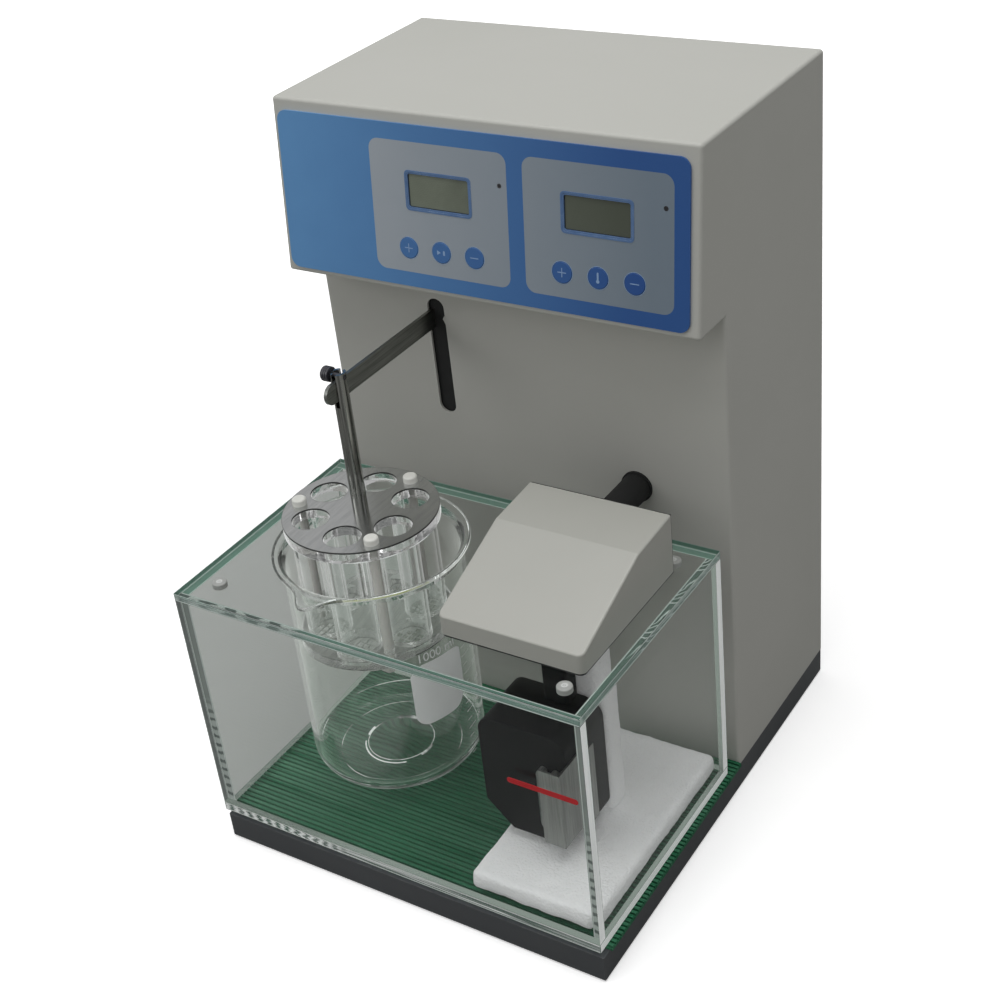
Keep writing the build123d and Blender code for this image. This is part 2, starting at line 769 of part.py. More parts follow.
def make_drive():
    """The drive in the column: frame, motor, crank, guide rods, carriage and shield."""
    shield_y = column_inner_y + shield_front_gap
    carriage_y = shield_y + shield_thickness + carriage_front_gap
    guide_y = carriage_y + carriage_depth / 2
    yoke_y = carriage_y + carriage_depth
    yoke_back_y = yoke_y + yoke_depth
    disc_y = yoke_back_y + crank_disc_gap
    hub_y = disc_y + crank_disc_thickness
    frame_y = hub_y + hub_length + frame_gap
    frame_back_y = frame_y + frame_thickness
    crank_z = arm_z + rest_below_top - crank_radius
    guides = [arm_x - guide_spacing / 2, arm_x + guide_spacing / 2]

    shield_half = shield_side + slot_width / 2
    shield_low = slot_bottom_z - shield_end
    shield_high = slot_top_z + shield_end + stroke - rest_below_top
    shield = block(slot_x - shield_half, slot_x + shield_half, shield_y, shield_y + shield_thickness,
                   shield_low, shield_high)
    arm_cut_x = arm_thickness / 2 + running_gap
    arm_cut_z = arm_height / 2 + running_gap
    shield -= block(arm_x - arm_cut_x, arm_x + arm_cut_x, shield_y - overrun, shield_y + 2 * overrun,
                    arm_z - arm_cut_z, arm_z + arm_cut_z)
    save("slot_shield", shield)

    arm_back_y = carriage_y + arm_socket_depth
    arm_front_y = basket_y - arm_reach
    nose_y = arm_front_y + arm_height / 2
    arm = block(arm_x - arm_thickness / 2, arm_x + arm_thickness / 2, nose_y, arm_back_y,
                arm_z - arm_height / 2, arm_z + arm_height / 2)
    arm += along_x(nose_y, arm_z, arm_x - arm_thickness / 2, arm_x + arm_thickness / 2, arm_height / 2)
    save("lifting_arm", arm)

    carriage = block(arm_x - carriage_half_width, arm_x + carriage_half_width, carriage_y, yoke_y,
                     arm_z - carriage_half_height, arm_z + carriage_half_height)
    carriage += block(arm_x - boss_half_width, arm_x + boss_half_width, shield_y + shield_thickness,
                      carriage_y, arm_z - boss_half_height, arm_z + boss_half_height)
    yoke_slot_half = crank_radius + roller_radius + yoke_end_play
    yoke_slot_rise = roller_radius + yoke_play
    carriage += block(arm_x - yoke_slot_half - yoke_rim, arm_x + yoke_slot_half + yoke_rim, yoke_y,
                      yoke_back_y, arm_z - yoke_slot_rise - yoke_rim, arm_z + yoke_slot_rise + yoke_rim)
    carriage -= block(arm_x - yoke_slot_half, arm_x + yoke_slot_half, yoke_y, yoke_back_y + overrun,
                      arm_z - yoke_slot_rise, arm_z + yoke_slot_rise)
    carriage -= block(arm_x - arm_cut_x, arm_x + arm_cut_x, shield_y, arm_back_y,
                      arm_z - arm_cut_z, arm_z + arm_cut_z)
    bushes = []
    for x in guides:
        carriage -= upright(x, guide_y, arm_z - carriage_half_height - overrun,
                            arm_z + carriage_half_height + overrun, guide_radius + 2 * fit_gap)
        for low in (arm_z - carriage_half_height, arm_z + carriage_half_height - bush_length):
            carriage -= upright(x, guide_y, low, low + bush_length, bush_radius)
            bush = upright(x, guide_y, low, low + bush_length, bush_radius)
            bush -= upright(x, guide_y, low - overrun, low + bush_length + overrun, guide_radius + running_gap)
            bushes.append(bush)
    save("carriage", carriage)
    save("guide_bushes", group(bushes))

    low_block_top = arm_z + rest_below_top - stroke - carriage_half_height - block_gap
    high_block_bottom = arm_z + rest_below_top + carriage_half_height + block_gap
    rods = []
    for x in guides:
        rods.append(upright(x, guide_y, low_block_top - block_height, high_block_bottom + block_height,
                            guide_radius))
    save("guide_rods", group(rods))
    blocks = []
    for low in (low_block_top - block_height, high_block_bottom):
        piece = block(arm_x - carriage_half_width, arm_x + carriage_half_width, carriage_y, frame_y,
                      low, low + block_height)
        for x in guides:
            piece -= upright(x, guide_y, low - overrun, low + block_height + overrun, guide_radius)
        blocks.append(piece)
    save("rod_blocks", group(blocks))

    frame_top = high_block_bottom + 2 * block_height
    frame = block(arm_x - frame_half_width, arm_x + frame_half_width, frame_y, frame_back_y,
                  base_top_z, frame_top)
    frame += block(arm_x - frame_half_width, arm_x + frame_half_width, frame_y, frame_y + frame_foot,
                   base_top_z, base_top_z + frame_thickness)
    frame -= along_y(arm_x, crank_z, frame_y - overrun, frame_back_y + overrun, hub_radius)
    save("drive_frame", frame)

    half = gearbox_side / 2
    box_back_y = frame_back_y + gearbox_depth
    motor = block(arm_x - half, arm_x + half, frame_back_y, box_back_y, crank_z - half, crank_z + half)
    motor = fillet(motor.edges().filter_by(Axis.Y), bush_radius)
    motor += along_y(arm_x, crank_z, box_back_y, box_back_y + motor_length, motor_radius)
    motor -= along_y(arm_x, crank_z, frame_back_y - overrun, frame_back_y + shaft_entry + seat_gap,
                     shaft_radius + running_gap)
    save("gear_motor", motor)

    pin_angle = math.radians(crank_rest_angle)
    pin_x = arm_x + crank_radius * math.sin(pin_angle)
    pin_z = crank_z + crank_radius * math.cos(pin_angle)
    crank = along_y(arm_x, crank_z, disc_y, hub_y, crank_disc_radius)
    crank = chamfer(crank.edges(), edge_break)
    crank += along_y(arm_x, crank_z, hub_y, hub_y + hub_length, hub_radius)
    crank += along_y(arm_x, crank_z, hub_y, frame_back_y + shaft_entry, shaft_radius)
    roller_y = yoke_y + (yoke_depth - roller_length) / 2
    crank += along_y(pin_x, pin_z, roller_y, disc_y, pin_radius)
    save("crank_disc", crank)
    roller = along_y(pin_x, pin_z, roller_y, roller_y + roller_length, roller_radius)
    roller -= along_y(pin_x, pin_z, roller_y - overrun, disc_y, pin_radius)
    save("crank_roller", roller)


def make_basket():
    """The basket rack: shaft, hanger screw, discs, tubes, wire screen, bolts and nuts."""
    hanger_z = arm_z + arm_height / 2 + hang_gap + hanger_shank_radius
    shaft_top_z = hanger_z + hanger_above
    shaft = upright(arm_x, basket_y, disc_top_z, shaft_top_z, shaft_outer_radius)
    slit = arm_thickness / 2 + seat_gap
    shaft -= upright(arm_x, basket_y, shaft_top_z - shaft_slit_depth - shaft_outer_radius,
                     shaft_top_z + overrun, shaft_bore_radius)
    shaft -= block(arm_x - slit, arm_x + slit, basket_y - 2 * shaft_outer_radius,
                   basket_y + 2 * shaft_outer_radius, shaft_top_z - shaft_slit_depth,
                   shaft_top_z + overrun)
    shaft -= along_x(basket_y, hanger_z, arm_x - 2 * shaft_outer_radius, arm_x + shaft_outer_radius + overrun,
                     hanger_shank_radius + running_gap)
    under_z = disc_top_z - steel_disc_thickness - clear_disc_thickness
    shaft += upright(arm_x, basket_y, under_z - shaft_nut_height, disc_top_z, stud_screw_radius)
    nut = extrude(RegularPolygon(shaft_nut_radius, 6), amount=shaft_nut_height)
    shaft += Pos(arm_x, basket_y, under_z - shaft_nut_height) * nut
    save("basket_shaft", shaft)

    knob_x = arm_x - shaft_outer_radius - seat_gap
    screw = along_x(basket_y, hanger_z, knob_x - knob_length, knob_x, knob_radius)
    screw = fillet(screw.edges().group_by(Axis.X)[0], knob_groove * 3)
    groove_step = knob_length / (knob_groove_count + 1)
    for groove in range(knob_groove_count):
        x = knob_x - (groove + 1) * groove_step
        ring = along_x(basket_y, hanger_z, x - knob_groove / 2, x + knob_groove / 2, knob_radius + overrun)
        ring -= along_x(basket_y, hanger_z, x - knob_groove, x + knob_groove, knob_radius - knob_groove)
        screw -= ring
    screw += along_x(basket_y, hanger_z, knob_x, arm_x + shaft_outer_radius - edge_break, hanger_shank_radius)
    save("hanger_screw", screw)

    tube_places = [polar(arm_x, basket_y, tube_circle_radius, tube_start_angle + step * 360 / tube_count)
                   for step in range(tube_count)]
    bolt_places = [polar(arm_x, basket_y, bolt_circle_radius, bolt_start_angle + step * 360 / bolt_count)
                   for step in range(bolt_count)]
    tube_radius = tube_bore_radius + tube_wall
    steel_z = disc_top_z - steel_disc_thickness
    tube_bottom_z = steel_z - tube_length
    lower_top_z = tube_bottom_z + clear_disc_thickness

    steel = upright(arm_x, basket_y, steel_z, disc_top_z, disc_radius)
    steel -= upright(arm_x, basket_y, steel_z - overrun, disc_top_z + overrun, stud_screw_radius)
    for x, y in tube_places:
        steel -= upright(x, y, steel_z - overrun, disc_top_z + overrun, disc_hole_radius)
    for x, y in bolt_places:
        steel -= upright(x, y, steel_z - overrun, disc_top_z + overrun, bolt_radius + running_gap)
    save("steel_disc", steel)

    discs = []
    for low, high in ((under_z, steel_z), (tube_bottom_z, lower_top_z)):
        disc = upright(arm_x, basket_y, low, high, disc_radius)
        for x, y in tube_places:
            disc -= upright(x, y, low - overrun, high + overrun, tube_radius + running_gap)
        for x, y in bolt_places:
            disc -= upright(x, y, low - overrun, high + overrun, bolt_radius + running_gap)
        discs.append(disc)
    discs[0] -= upright(arm_x, basket_y, under_z - overrun, disc_top_z, stud_screw_radius + running_gap)
    save("clear_discs", group(discs))

    tubes = []
    for x, y in tube_places:
        tube = upright(x, y, tube_bottom_z, steel_z, tube_radius)
        tubes.append(tube - upright(x, y, tube_bottom_z - overrun, steel_z + overrun, tube_bore_radius))
    save("glass_tubes", group(tubes))

    screen_z = tube_bottom_z - screen_thickness
    screen = upright(arm_x, basket_y, screen_z, tube_bottom_z, disc_radius)
    across = int(2 * tube_bore_radius / screen_pitch)
    cut = Pos(0, 0, screen_z - overrun) * Box(screen_opening, screen_opening,
                                             screen_thickness + 2 * overrun, align=ON_FLOOR)
    cuts = []
    for tube_x, tube_y in tube_places:
        for column in range(across):
            for row in range(across):
                dx = (column - (across - 1) / 2) * screen_pitch
                dy = (row - (across - 1) / 2) * screen_pitch
                if math.hypot(dx, dy) < tube_bore_radius - screen_pitch / 2:
                    cuts.append(Pos(tube_x + dx, tube_y + dy, 0) * cut)
    screen -= cuts
    for x, y in bolt_places:
        screen -= upright(x, y, screen_z - overrun, tube_bottom_z + overrun, bolt_radius + running_gap)
    save("wire_screen", screen)

    bolts = []
    nuts = []
    for x, y in bolt_places:
        nut_low = screen_z - nut_height
        bolt = upright(x, y, nut_low - bolt_tail, disc_top_z, bolt_radius)
        cap = upright(x, y, disc_top_z, disc_top_z + bolt_cap_height, bolt_cap_radius)
        bolts.append(bolt + fillet(cap.edges().group_by(Axis.Z)[-1], bolt_cap_height / 3))
        nut = Pos(x, y, nut_low) * extrude(RegularPolygon(nut_radius, 6), amount=nut_height)
        nuts.append(nut - upright(x, y, nut_low - overrun, screen_z + overrun, bolt_radius))
    save("nylon_bolts", group(bolts))
    save("nylon_nuts", group(nuts))


def rim_profile(radius, wall_inset, bottom_z, corner):
    """One side of the beaker's section as a face, from its axis out to its wall."""
    top_z = lid_top_z + rim_rise
    flare_z = top_z - rim_flare_height
    half_angle = math.atan2(rim_flare_width, rim_flare_height)
    flare_radius = rim_flare_height / math.sin(2 * half_angle) + wall_inset
    flare_x = radius + flare_radius
    rise = top_z - flare_z
    end_x = flare_x - math.sqrt(flare_radius ** 2 - rise ** 2)
    end_angle = math.degrees(math.asin(rise / flare_radius))
    edges = [Line((0, bottom_z), (radius - corner, bottom_z)),
             CenterArc((radius - corner, bottom_z + corner), corner, 270, 90),
             Line((radius, bottom_z + corner), (radius, flare_z)),
             CenterArc((flare_x, flare_z), flare_radius, 180, -end_angle),
             Line((end_x, top_z), (0, top_z)),
             Line((0, top_z), (0, bottom_z))]
    return make_face(edges)


def lid_hole_radius():
    """The lid's hole, which the beaker's flared rim rests in."""
    half_angle = math.atan2(rim_flare_width, rim_flare_height)
    flare_radius = rim_flare_height / math.sin(2 * half_angle)
    rise = rim_flare_height - rim_rise
    return beaker_radius + flare_radius - math.sqrt(flare_radius ** 2 - rise ** 2) + seat_gap


def spout_solid(inset):
    """The spout's outer or inner form, over the lid, towards the front."""
    top_z = lid_top_z + rim_rise
    low_z = lid_top_z + seat_gap + inset / 2
    tip_y = beaker_radius + rim_flare_width + spout_reach - spout_tip_radius
    root_y = beaker_radius
    low = Plane.XY.offset(low_z) * Pos(0, -root_y, 0) * Circle(spout_root_radius - inset / 2)
    high = Plane.XY.offset(top_z) * Pos(0, -tip_y, 0) * Circle(spout_tip_radius - inset / 2)
    return loft([low.face(), high.face()])


def make_beaker():
    """The beaker, hung by its rim in the lid."""
    outer = revolve(Plane.XZ * rim_profile(beaker_radius, 0, beaker_bottom_z, beaker_corner), Axis.Z)
    inner_corner = beaker_corner - beaker_wall
    inner = revolve(Plane.XZ * rim_profile(beaker_radius - beaker_wall, beaker_wall,
                                           beaker_bottom_z + beaker_base, inner_corner), Axis.Z)
    glass = outer + spout_solid(0) - inner - spout_solid(beaker_wall)
    save("beaker", Pos(beaker_x, beaker_y, 0) * glass)


def make_bath():
    """The bath: floor, four walls, lid, knobs, level stripe and foam."""
    floor = block(bath_left_x, bath_right_x, bath_front_y, bath_back_y, bath_bottom_z, bath_floor_z)
    save("bath_floor", floor)
    inner_left = bath_left_x + bath_wall
    inner_right = bath_right_x - bath_wall
    inner_front = bath_front_y + bath_wall
    inner_back = bath_back_y - bath_wall
    walls = [block(bath_left_x, bath_right_x, bath_front_y, inner_front, bath_floor_z, lid_bottom_z),
             block(bath_left_x, bath_right_x, inner_back, bath_back_y, bath_floor_z, lid_bottom_z),
             block(bath_left_x, inner_left, inner_front, inner_back, bath_floor_z, lid_bottom_z),
             block(inner_right, bath_right_x, inner_front, inner_back, bath_floor_z, lid_bottom_z)]
    save("bath_walls", group(walls))

    lid = block(bath_left_x, bath_right_x, bath_front_y, bath_back_y, lid_bottom_z, lid_top_z)
    lid -= upright(beaker_x, beaker_y, lid_bottom_z - overrun, lid_top_z + overrun, lid_hole_radius())
    lid -= block(stem_left_x - seat_gap, stem_right_x + seat_gap, stem_front_y - seat_gap,
                 pump_back_y + seat_gap, lid_bottom_z - overrun, lid_top_z + overrun)
    lid -= upright(probe_x, probe_y, lid_bottom_z - overrun, lid_top_z + overrun, probe_radius + fit_gap)
    save("bath_lid", lid)

    knobs = []
    for x in (-lid_knob_half_spread, lid_knob_half_spread):
        for y in (lid_knob_front_y, lid_knob_back_y):
            knob = upright(x, y, lid_top_z, lid_top_z + lid_knob_height, lid_knob_radius)
            knobs.append(fillet(knob.edges().group_by(Axis.Z)[-1], lid_knob_dome))
    save("lid_knobs", group(knobs))

    mark = extrude(Plane.XZ * SlotOverall(mark_length, mark_width), amount=bath_setback)
    save("level_mark", Pos(mark_center_x, bath_front_y, mark_z) * mark)

    pad_top_z = bath_floor_z + foam_pad_thickness
    pad = block(foam_pad_left_x, inner_right - foam_side_gap, inner_front + foam_side_gap,
                inner_back - foam_side_gap, bath_floor_z, pad_top_z)
    save("foam_pad", pad)
    upright_block = block(foam_block_left_x, foam_block_right_x, foam_block_front_y, foam_block_back_y,
                          pad_top_z, foam_block_top_z)
    save("foam_block", fillet(upright_block.edges().filter_by(Axis.Z), foam_block_corner))


def make_hood():
    """The hood cover, its tray and the conduit to the column."""
    half = hood_width / 2
    tray_z = lid_top_z + hood_tray_thickness
    plate_front = hood_back_y - hood_tray_thickness
    outline = [(hood_front_y, tray_z), (hood_front_y, tray_z + hood_front_height - hood_tray_thickness),
               (hood_crease_y, lid_top_z + hood_crease_height), (plate_front, lid_top_z + hood_top_height),
               (plate_front, tray_z)]
    cover = side_prism(outline, hood_x - half, hood_x + half)
    corners = cover.edges().filter_by(Axis.Z).group_by(Axis.Y)[0]
    cover = fillet(corners, hood_corner)
    top_edges = [edge for edge in cover.edges()
                 if edge.center().Z > tray_z + hood_wall * 2 and edge.center().Y < plate_front - edge_break]
    cover = fillet(top_edges, edge_break * 2)
    slope = (hood_crease_height - hood_front_height) / (hood_crease_y - hood_front_y)
    inner_front = hood_front_y + hood_wall
    inner = [(inner_front, tray_z - overrun),
             (inner_front, lid_top_z + hood_front_height - hood_wall + slope * hood_wall),
             (hood_crease_y, lid_top_z + hood_crease_height - hood_wall),
             (plate_front + overrun, lid_top_z + hood_top_height - hood_wall),
             (plate_front + overrun, tray_z - overrun)]
    cover -= side_prism(inner, hood_x - half + hood_wall, hood_x + half - hood_wall)
    save("hood_cover", cover)

    inset = edge_break
    tray = block(hood_x - half + inset, hood_x + half - inset, hood_front_y + inset, hood_back_y,
                 lid_top_z, tray_z)
    tray = fillet(tray.edges().filter_by(Axis.Z).group_by(Axis.Y)[0], hood_corner - inset)
    tray += block(hood_x - half + inset, hood_x + half - inset, plate_front, hood_back_y,
                  lid_top_z, lid_top_z + hood_top_height - inset)
    tray -= along_y(conduit_x, conduit_z, plate_front - overrun, hood_back_y + overrun,
                    conduit_radius - conduit_wall)
    save("hood_tray", tray)

    conduit = along_y(conduit_x, conduit_z, hood_back_y, column_inner_y + conduit_nut_thickness, conduit_radius)
    conduit += along_y(conduit_x, conduit_z, column_front_y - conduit_ring_thickness, column_front_y,
                       conduit_ring_radius)
    conduit += along_y(conduit_x, conduit_z, column_inner_y, column_inner_y + conduit_nut_thickness,
                       conduit_nut_radius)
    conduit -= along_y(conduit_x, conduit_z, hood_back_y - overrun,
                       column_inner_y + conduit_nut_thickness + overrun, conduit_radius - conduit_wall)
    save("conduit_tube", conduit)


def make_pump():
    """The pump body with its impeller, stem, guard, heater and probe."""
    impeller_y = (pump_front_y + pump_back_y) / 2
    body = block(pump_left_x, pump_right_x, pump_front_y, pump_back_y, pump_bottom_z, pump_top_z)
    body = fillet(body.edges().filter_by(Axis.Y), pump_corner)
    body = fillet(body.edges().filter_by(Axis.Z), edge_break)
    bevel = Rot(0, 45, 0) * Box(2 * pump_bevel, 2 * (pump_back_y - pump_front_y), 2 * pump_bevel)
    body -= Pos(pump_left_x, impeller_y, pump_bottom_z) * bevel
    chamber_top = pump_bottom_z + chamber_height
    rotor_top = chamber_top + rotor_height + rotor_clearance
    body -= upright(impeller_x, impeller_y, pump_bottom_z - overrun, chamber_top, chamber_radius)
    body -= upright(impeller_x, impeller_y, chamber_top - overrun, rotor_top, rotor_radius + rotor_clearance)
    body -= upright(impeller_x, impeller_y, rotor_top - overrun, rotor_top + spindle_entry + seat_gap,
                    spindle_radius + running_gap)
    save("pump_body", body)

    wheel_top = chamber_top - rotor_clearance
    wheel = upright(impeller_x, impeller_y, wheel_top - impeller_web, wheel_top, impeller_radius)
    wheel += upright(impeller_x, impeller_y, wheel_top - impeller_height, wheel_top, impeller_radius / 3)
    blade = Pos(impeller_radius / 4, 0, 0) * Box(impeller_radius * 3 / 4, blade_thickness, impeller_height,
                                                align=(Align.MIN, Align.CENTER, Align.MAX))
    for step in range(impeller_blades):
        wheel += Pos(impeller_x, impeller_y, wheel_top) * Rot(0, 0, step * 360 / impeller_blades) * blade
    wheel += upright(impeller_x, impeller_y, wheel_top, chamber_top + rotor_height, rotor_radius)
    wheel += upright(impeller_x, impeller_y, chamber_top + rotor_height, rotor_top + spindle_entry,
                     spindle_radius)
    save("pump_impeller", wheel)

    stem = block(stem_left_x, stem_right_x, stem_front_y, pump_back_y, pump_top_z, lid_top_z)
    save("pump_stem", fillet(stem.edges().filter_by(Axis.Z), hood_wall))

    guard_y = pump_front_y - guard_stand_off
    guard_right = pump_right_x + guard_sheet
    guard = block(pump_right_x, guard_right, guard_y, pump_front_y + guard_side_grip,
                  guard_bottom_z, guard_top_z)
    guard += block(guard_right - guard_front_width, guard_right, guard_y - guard_sheet, guard_y,
                   guard_bottom_z, guard_top_z)
    save("heater_guard", guard)

    heater_y = pump_front_y - heater_stand_off
    heater_right_x = heater_left_x + 2 * heater_bend_radius
    loop_z = heater_bottom_z + heater_bend_radius
    bend = Rot(90, 0, 0) * Torus(heater_bend_radius, heater_radius)
    bend -= Pos(0, 0, 0) * Box(4 * heater_bend_radius, 4 * heater_radius, 4 * heater_bend_radius,
                               align=ON_FLOOR)
    heater = Pos(heater_left_x + heater_bend_radius, heater_y, loop_z) * bend
    for x in (heater_left_x, heater_right_x):
        heater += upright(x, heater_y, loop_z, heater_entry_z, heater_radius)
        heater += Pos(x, heater_y, heater_entry_z) * Sphere(heater_radius)
        heater += along_y(x, heater_entry_z, heater_y, pump_front_y, heater_radius)
    save("heater_element", heater)

    probe = upright(probe_x, probe_y, probe_tip_z + probe_radius, lid_top_z, probe_radius)
    probe += Pos(probe_x, probe_y, probe_tip_z + probe_radius) * Sphere(probe_radius)
    save("temperature_probe", probe)


make_base()
make_housing()
make_panel()
make_power_entry()
make_drive()
make_basket()
make_beaker()
make_bath()
make_hood()
make_pump()
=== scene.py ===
"""Looks of the tablet disintegration tester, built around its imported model."""
from __future__ import annotations

import json
import logging
import math
from dataclasses import dataclass
from enum import Enum, IntEnum
from typing import Callable, Sequence

import bmesh
import bpy
from mathutils import Matrix, Vector
from mathutils import noise as relief

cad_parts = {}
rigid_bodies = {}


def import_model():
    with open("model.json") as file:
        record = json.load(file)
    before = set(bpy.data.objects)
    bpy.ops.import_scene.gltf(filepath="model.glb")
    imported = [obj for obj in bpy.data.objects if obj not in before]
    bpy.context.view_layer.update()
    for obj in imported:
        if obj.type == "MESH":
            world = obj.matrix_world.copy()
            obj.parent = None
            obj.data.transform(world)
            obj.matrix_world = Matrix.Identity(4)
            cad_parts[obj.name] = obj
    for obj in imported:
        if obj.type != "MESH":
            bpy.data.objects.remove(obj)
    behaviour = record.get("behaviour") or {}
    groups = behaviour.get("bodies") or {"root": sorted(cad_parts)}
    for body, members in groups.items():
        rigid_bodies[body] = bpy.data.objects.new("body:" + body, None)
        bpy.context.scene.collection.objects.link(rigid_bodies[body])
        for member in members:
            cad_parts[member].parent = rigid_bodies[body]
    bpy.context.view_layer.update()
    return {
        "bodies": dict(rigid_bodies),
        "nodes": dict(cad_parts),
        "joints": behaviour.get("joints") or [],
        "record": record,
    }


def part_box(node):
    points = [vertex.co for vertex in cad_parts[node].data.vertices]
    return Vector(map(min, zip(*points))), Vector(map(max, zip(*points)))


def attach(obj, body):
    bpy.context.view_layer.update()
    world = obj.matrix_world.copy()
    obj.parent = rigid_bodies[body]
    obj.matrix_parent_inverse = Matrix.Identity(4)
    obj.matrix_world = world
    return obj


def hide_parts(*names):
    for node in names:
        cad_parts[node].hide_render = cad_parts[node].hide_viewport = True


LOG = logging.getLogger("tester")
Node = bpy.types.Node
Socket = bpy.types.NodeSocket
Tree = bpy.types.NodeTree
Color = tuple[float, float, float]
Point = tuple[float, float, float]
Pair = tuple[float, float]
Outline = Sequence[Pair]
Move = Callable[[Vector], Vector]
Arc = tuple[float, float, float, float, float]
WHITE: Color = (1.0, 1.0, 1.0)
# Where the painted highlight rim of a strip starts and is full, from the strip's middle as a share of its
# width.
RIM_SPAN = (0.38, 0.45)


def tone(red: int, green: int, blue: int) -> Color:
    """Turn a screen colour of 0 to 255 into the linear colour that a shader takes.

    Args:
        red: red share of the screen colour.
        green: green share of the screen colour.
        blue: blue share of the screen colour.

    Returns:
        The linear colour.
    """
    linear = []
    for value in (red, green, blue):
        share = value / 255
        linear.append(share / 12.92 if share <= 0.04045 else ((share + 0.055) / 1.055) ** 2.4)
    return linear[0], linear[1], linear[2]


def opaque(color: Color) -> tuple[float, float, float, float]:
    """Add a full alpha to a colour."""
    return color[0], color[1], color[2], 1.0


class Wiring:
    """A short way to place and join nodes in one node tree."""

    def __init__(self, tree: Tree) -> None:
        """Keep the tree that the nodes go into."""
        self.tree = tree

    @classmethod
    def fresh(cls, owner: bpy.types.Material | bpy.types.World) -> Wiring:
        """Empty the node tree of a new material or world.

        Args:
            owner: the material or world.

        Returns:
            The wiring of its tree.
        """
        owner.use_nodes = True
        owner.node_tree.nodes.clear()
        return cls(owner.node_tree)

    def node(self, kind: str, **settings: object) -> Node:
        """Place a node.

        Args:
            kind: the node's type, without its ShaderNode prefix.
            **settings: attributes to set on it.

        Returns:
            The new node.
        """
        made = self.tree.nodes.new("ShaderNode" + kind)
        for name, value in settings.items():
            setattr(made, name, value)
        return made

    def join(self, source: Socket, target: Socket) -> None:
        """Link two sockets."""
        self.tree.links.new(source, target)

    def feed(self, target: Socket, value: object) -> None:
        """Link a socket to a target, or set a plain value on it.

        Args:
            target: the input.
            value: an output to link, a colour or a number.
        """
        if isinstance(value, Socket):
            self.join(value, target)
        elif isinstance(value, tuple) and len(value) == 3 and target.type == "RGBA":
            target.default_value = opaque(value)
        else:
            target.default_value = value

    def fill(self, node: Node, **values: object) -> None:
        """Feed several inputs of a node.

        Args:
            node: the node.
            **values: what each input gets, with an underscore for each space in the input's name.
        """
        for name, value in values.items():
            self.feed(node.inputs[name.replace("_", " ")], value)

    def noise(self, vector: Socket, scale: object, detail: float = 3.0, rough: float = 0.5,
              distortion: float = 0.0) -> Socket:
        """Place a noise texture.

        Args:
            vector: the coordinates.
            scale: how fine it is.
            detail: how many octaves it has.
            rough: how strong the fine octaves are.
            distortion: how far it is warped.

        Returns:
            Its value.
        """
        made = self.node("TexNoise")
        self.fill(made, Vector=vector, Scale=scale, Detail=detail, Roughness=rough, Distortion=distortion)
        return made.outputs["Fac"]

    def math(self, operation: str, first: object, second: object = 0.0) -> Socket:
        """Place a math node.

        Args:
            operation: what it works out.
            first: the first value.
            second: the second value.

        Returns:
            Its value.
        """
        made = self.node("Math", operation=operation)
        self.feed(made.inputs[0], first)
        self.feed(made.inputs[1], second)
        return made.outputs[0]

    def times(self, first: object, second: object) -> Socket:
        """Return the product of two values."""
        return self.math("MULTIPLY", first, second)

    def plus(self, first: object, second: object) -> Socket:
        """Return the sum of two values."""
        return self.math("ADD", first, second)

    def off_middle(self, value: object) -> Socket:
        """Return how far a share of 0 to 1 is from one half."""
        return self.math("ABSOLUTE", self.math("SUBTRACT", value, 0.5))

    def span(self, value: Socket, low: float, high: float, out_low: object = 0.0, out_high: object = 1.0
             ) -> Socket:
        """Map a value from one range to another, held at both ends.

        Args:
            value: the value.
            low: the range's start.
            high: the range's end.
            out_low: what the start becomes.
            out_high: what the end becomes.

        Returns:
            The mapped value.
        """
        made = self.node("MapRange", clamp=True)
        self.fill(made, Value=value, From_Min=low, From_Max=high, To_Min=out_low, To_Max=out_high)
        return made.outputs["Result"]

    def blend(self, share: object, first: object, second: object) -> Socket:
        """Mix two colours.

        Args:
            share: how much of the second shows.
            first: the first colour.
            second: the second colour.

        Returns:
            The mixed colour.
        """
        made = self.node("Mix", data_type="RGBA")
        self.fill(made, Factor=share, A=first, B=second)
        return made.outputs["Result"]

    def mixed(self, share: Socket, first: Socket, second: Socket) -> Socket:
        """Mix two shaders.

        Args:
            share: how much of the second shows.
            first: the first shader.
            second: the second shader.

        Returns:
            The mixed shader.
        """
        made = self.node("MixShader")
        for target, source in zip(made.inputs, (share, first, second)):
            self.join(source, target)
        return made.outputs["Shader"]

    def placed(self, turn: Point = (0, 0, 0), scale: Point = (1, 1, 1)) -> Socket:
        """Place object coordinates.

        Args:
            turn: how far they are turned.
            scale: how far they are scaled.

        Returns:
            The coordinates.
        """
        made = self.node("Mapping", vector_type="POINT")
        self.fill(made, Vector=self.node("TexCoord").outputs["Object"], Rotation=turn, Scale=scale)
        return made.outputs["Vector"]

    def part(self, vector: Socket, axis: str) -> Socket:
        """Return one component of a vector."""
        split = self.node("SeparateXYZ")
        self.fill(split, Vector=vector)
        return split.outputs[axis]

    def strip(self) -> tuple[Socket, Socket, Socket]:
        """Read a strip's texture coordinates.

        Returns:
            The metres along it, the share across it, and a mask of its two painted highlight rims.
        """
        place = self.node("TexCoord").outputs["UV"]
        across = self.part(place, "Y")
        return self.part(place, "X"), across, self.span(self.off_middle(across), *RIM_SPAN)

    def plane(self, along: Socket, across: Socket) -> Socket:
        """Return the vector of two values."""
        made = self.node("CombineXYZ")
        self.fill(made, X=along, Y=across)
        return made.outputs["Vector"]

    def bump(self, height: Socket, distance: float, normal: Socket | None = None) -> Socket:
        """Place a bump node over a height.

        Args:
            height: the height.
            distance: how high a height of one stands, in metres.
            normal: the normal that it works on, or none for the surface's own.

        Returns:
            The bumped normal.
        """
        made = self.node("Bump")
        self.fill(made, Distance=distance, Strength=1.0, Height=height)
        if normal is not None:
            self.fill(made, Normal=normal)
        return made.outputs["Normal"]


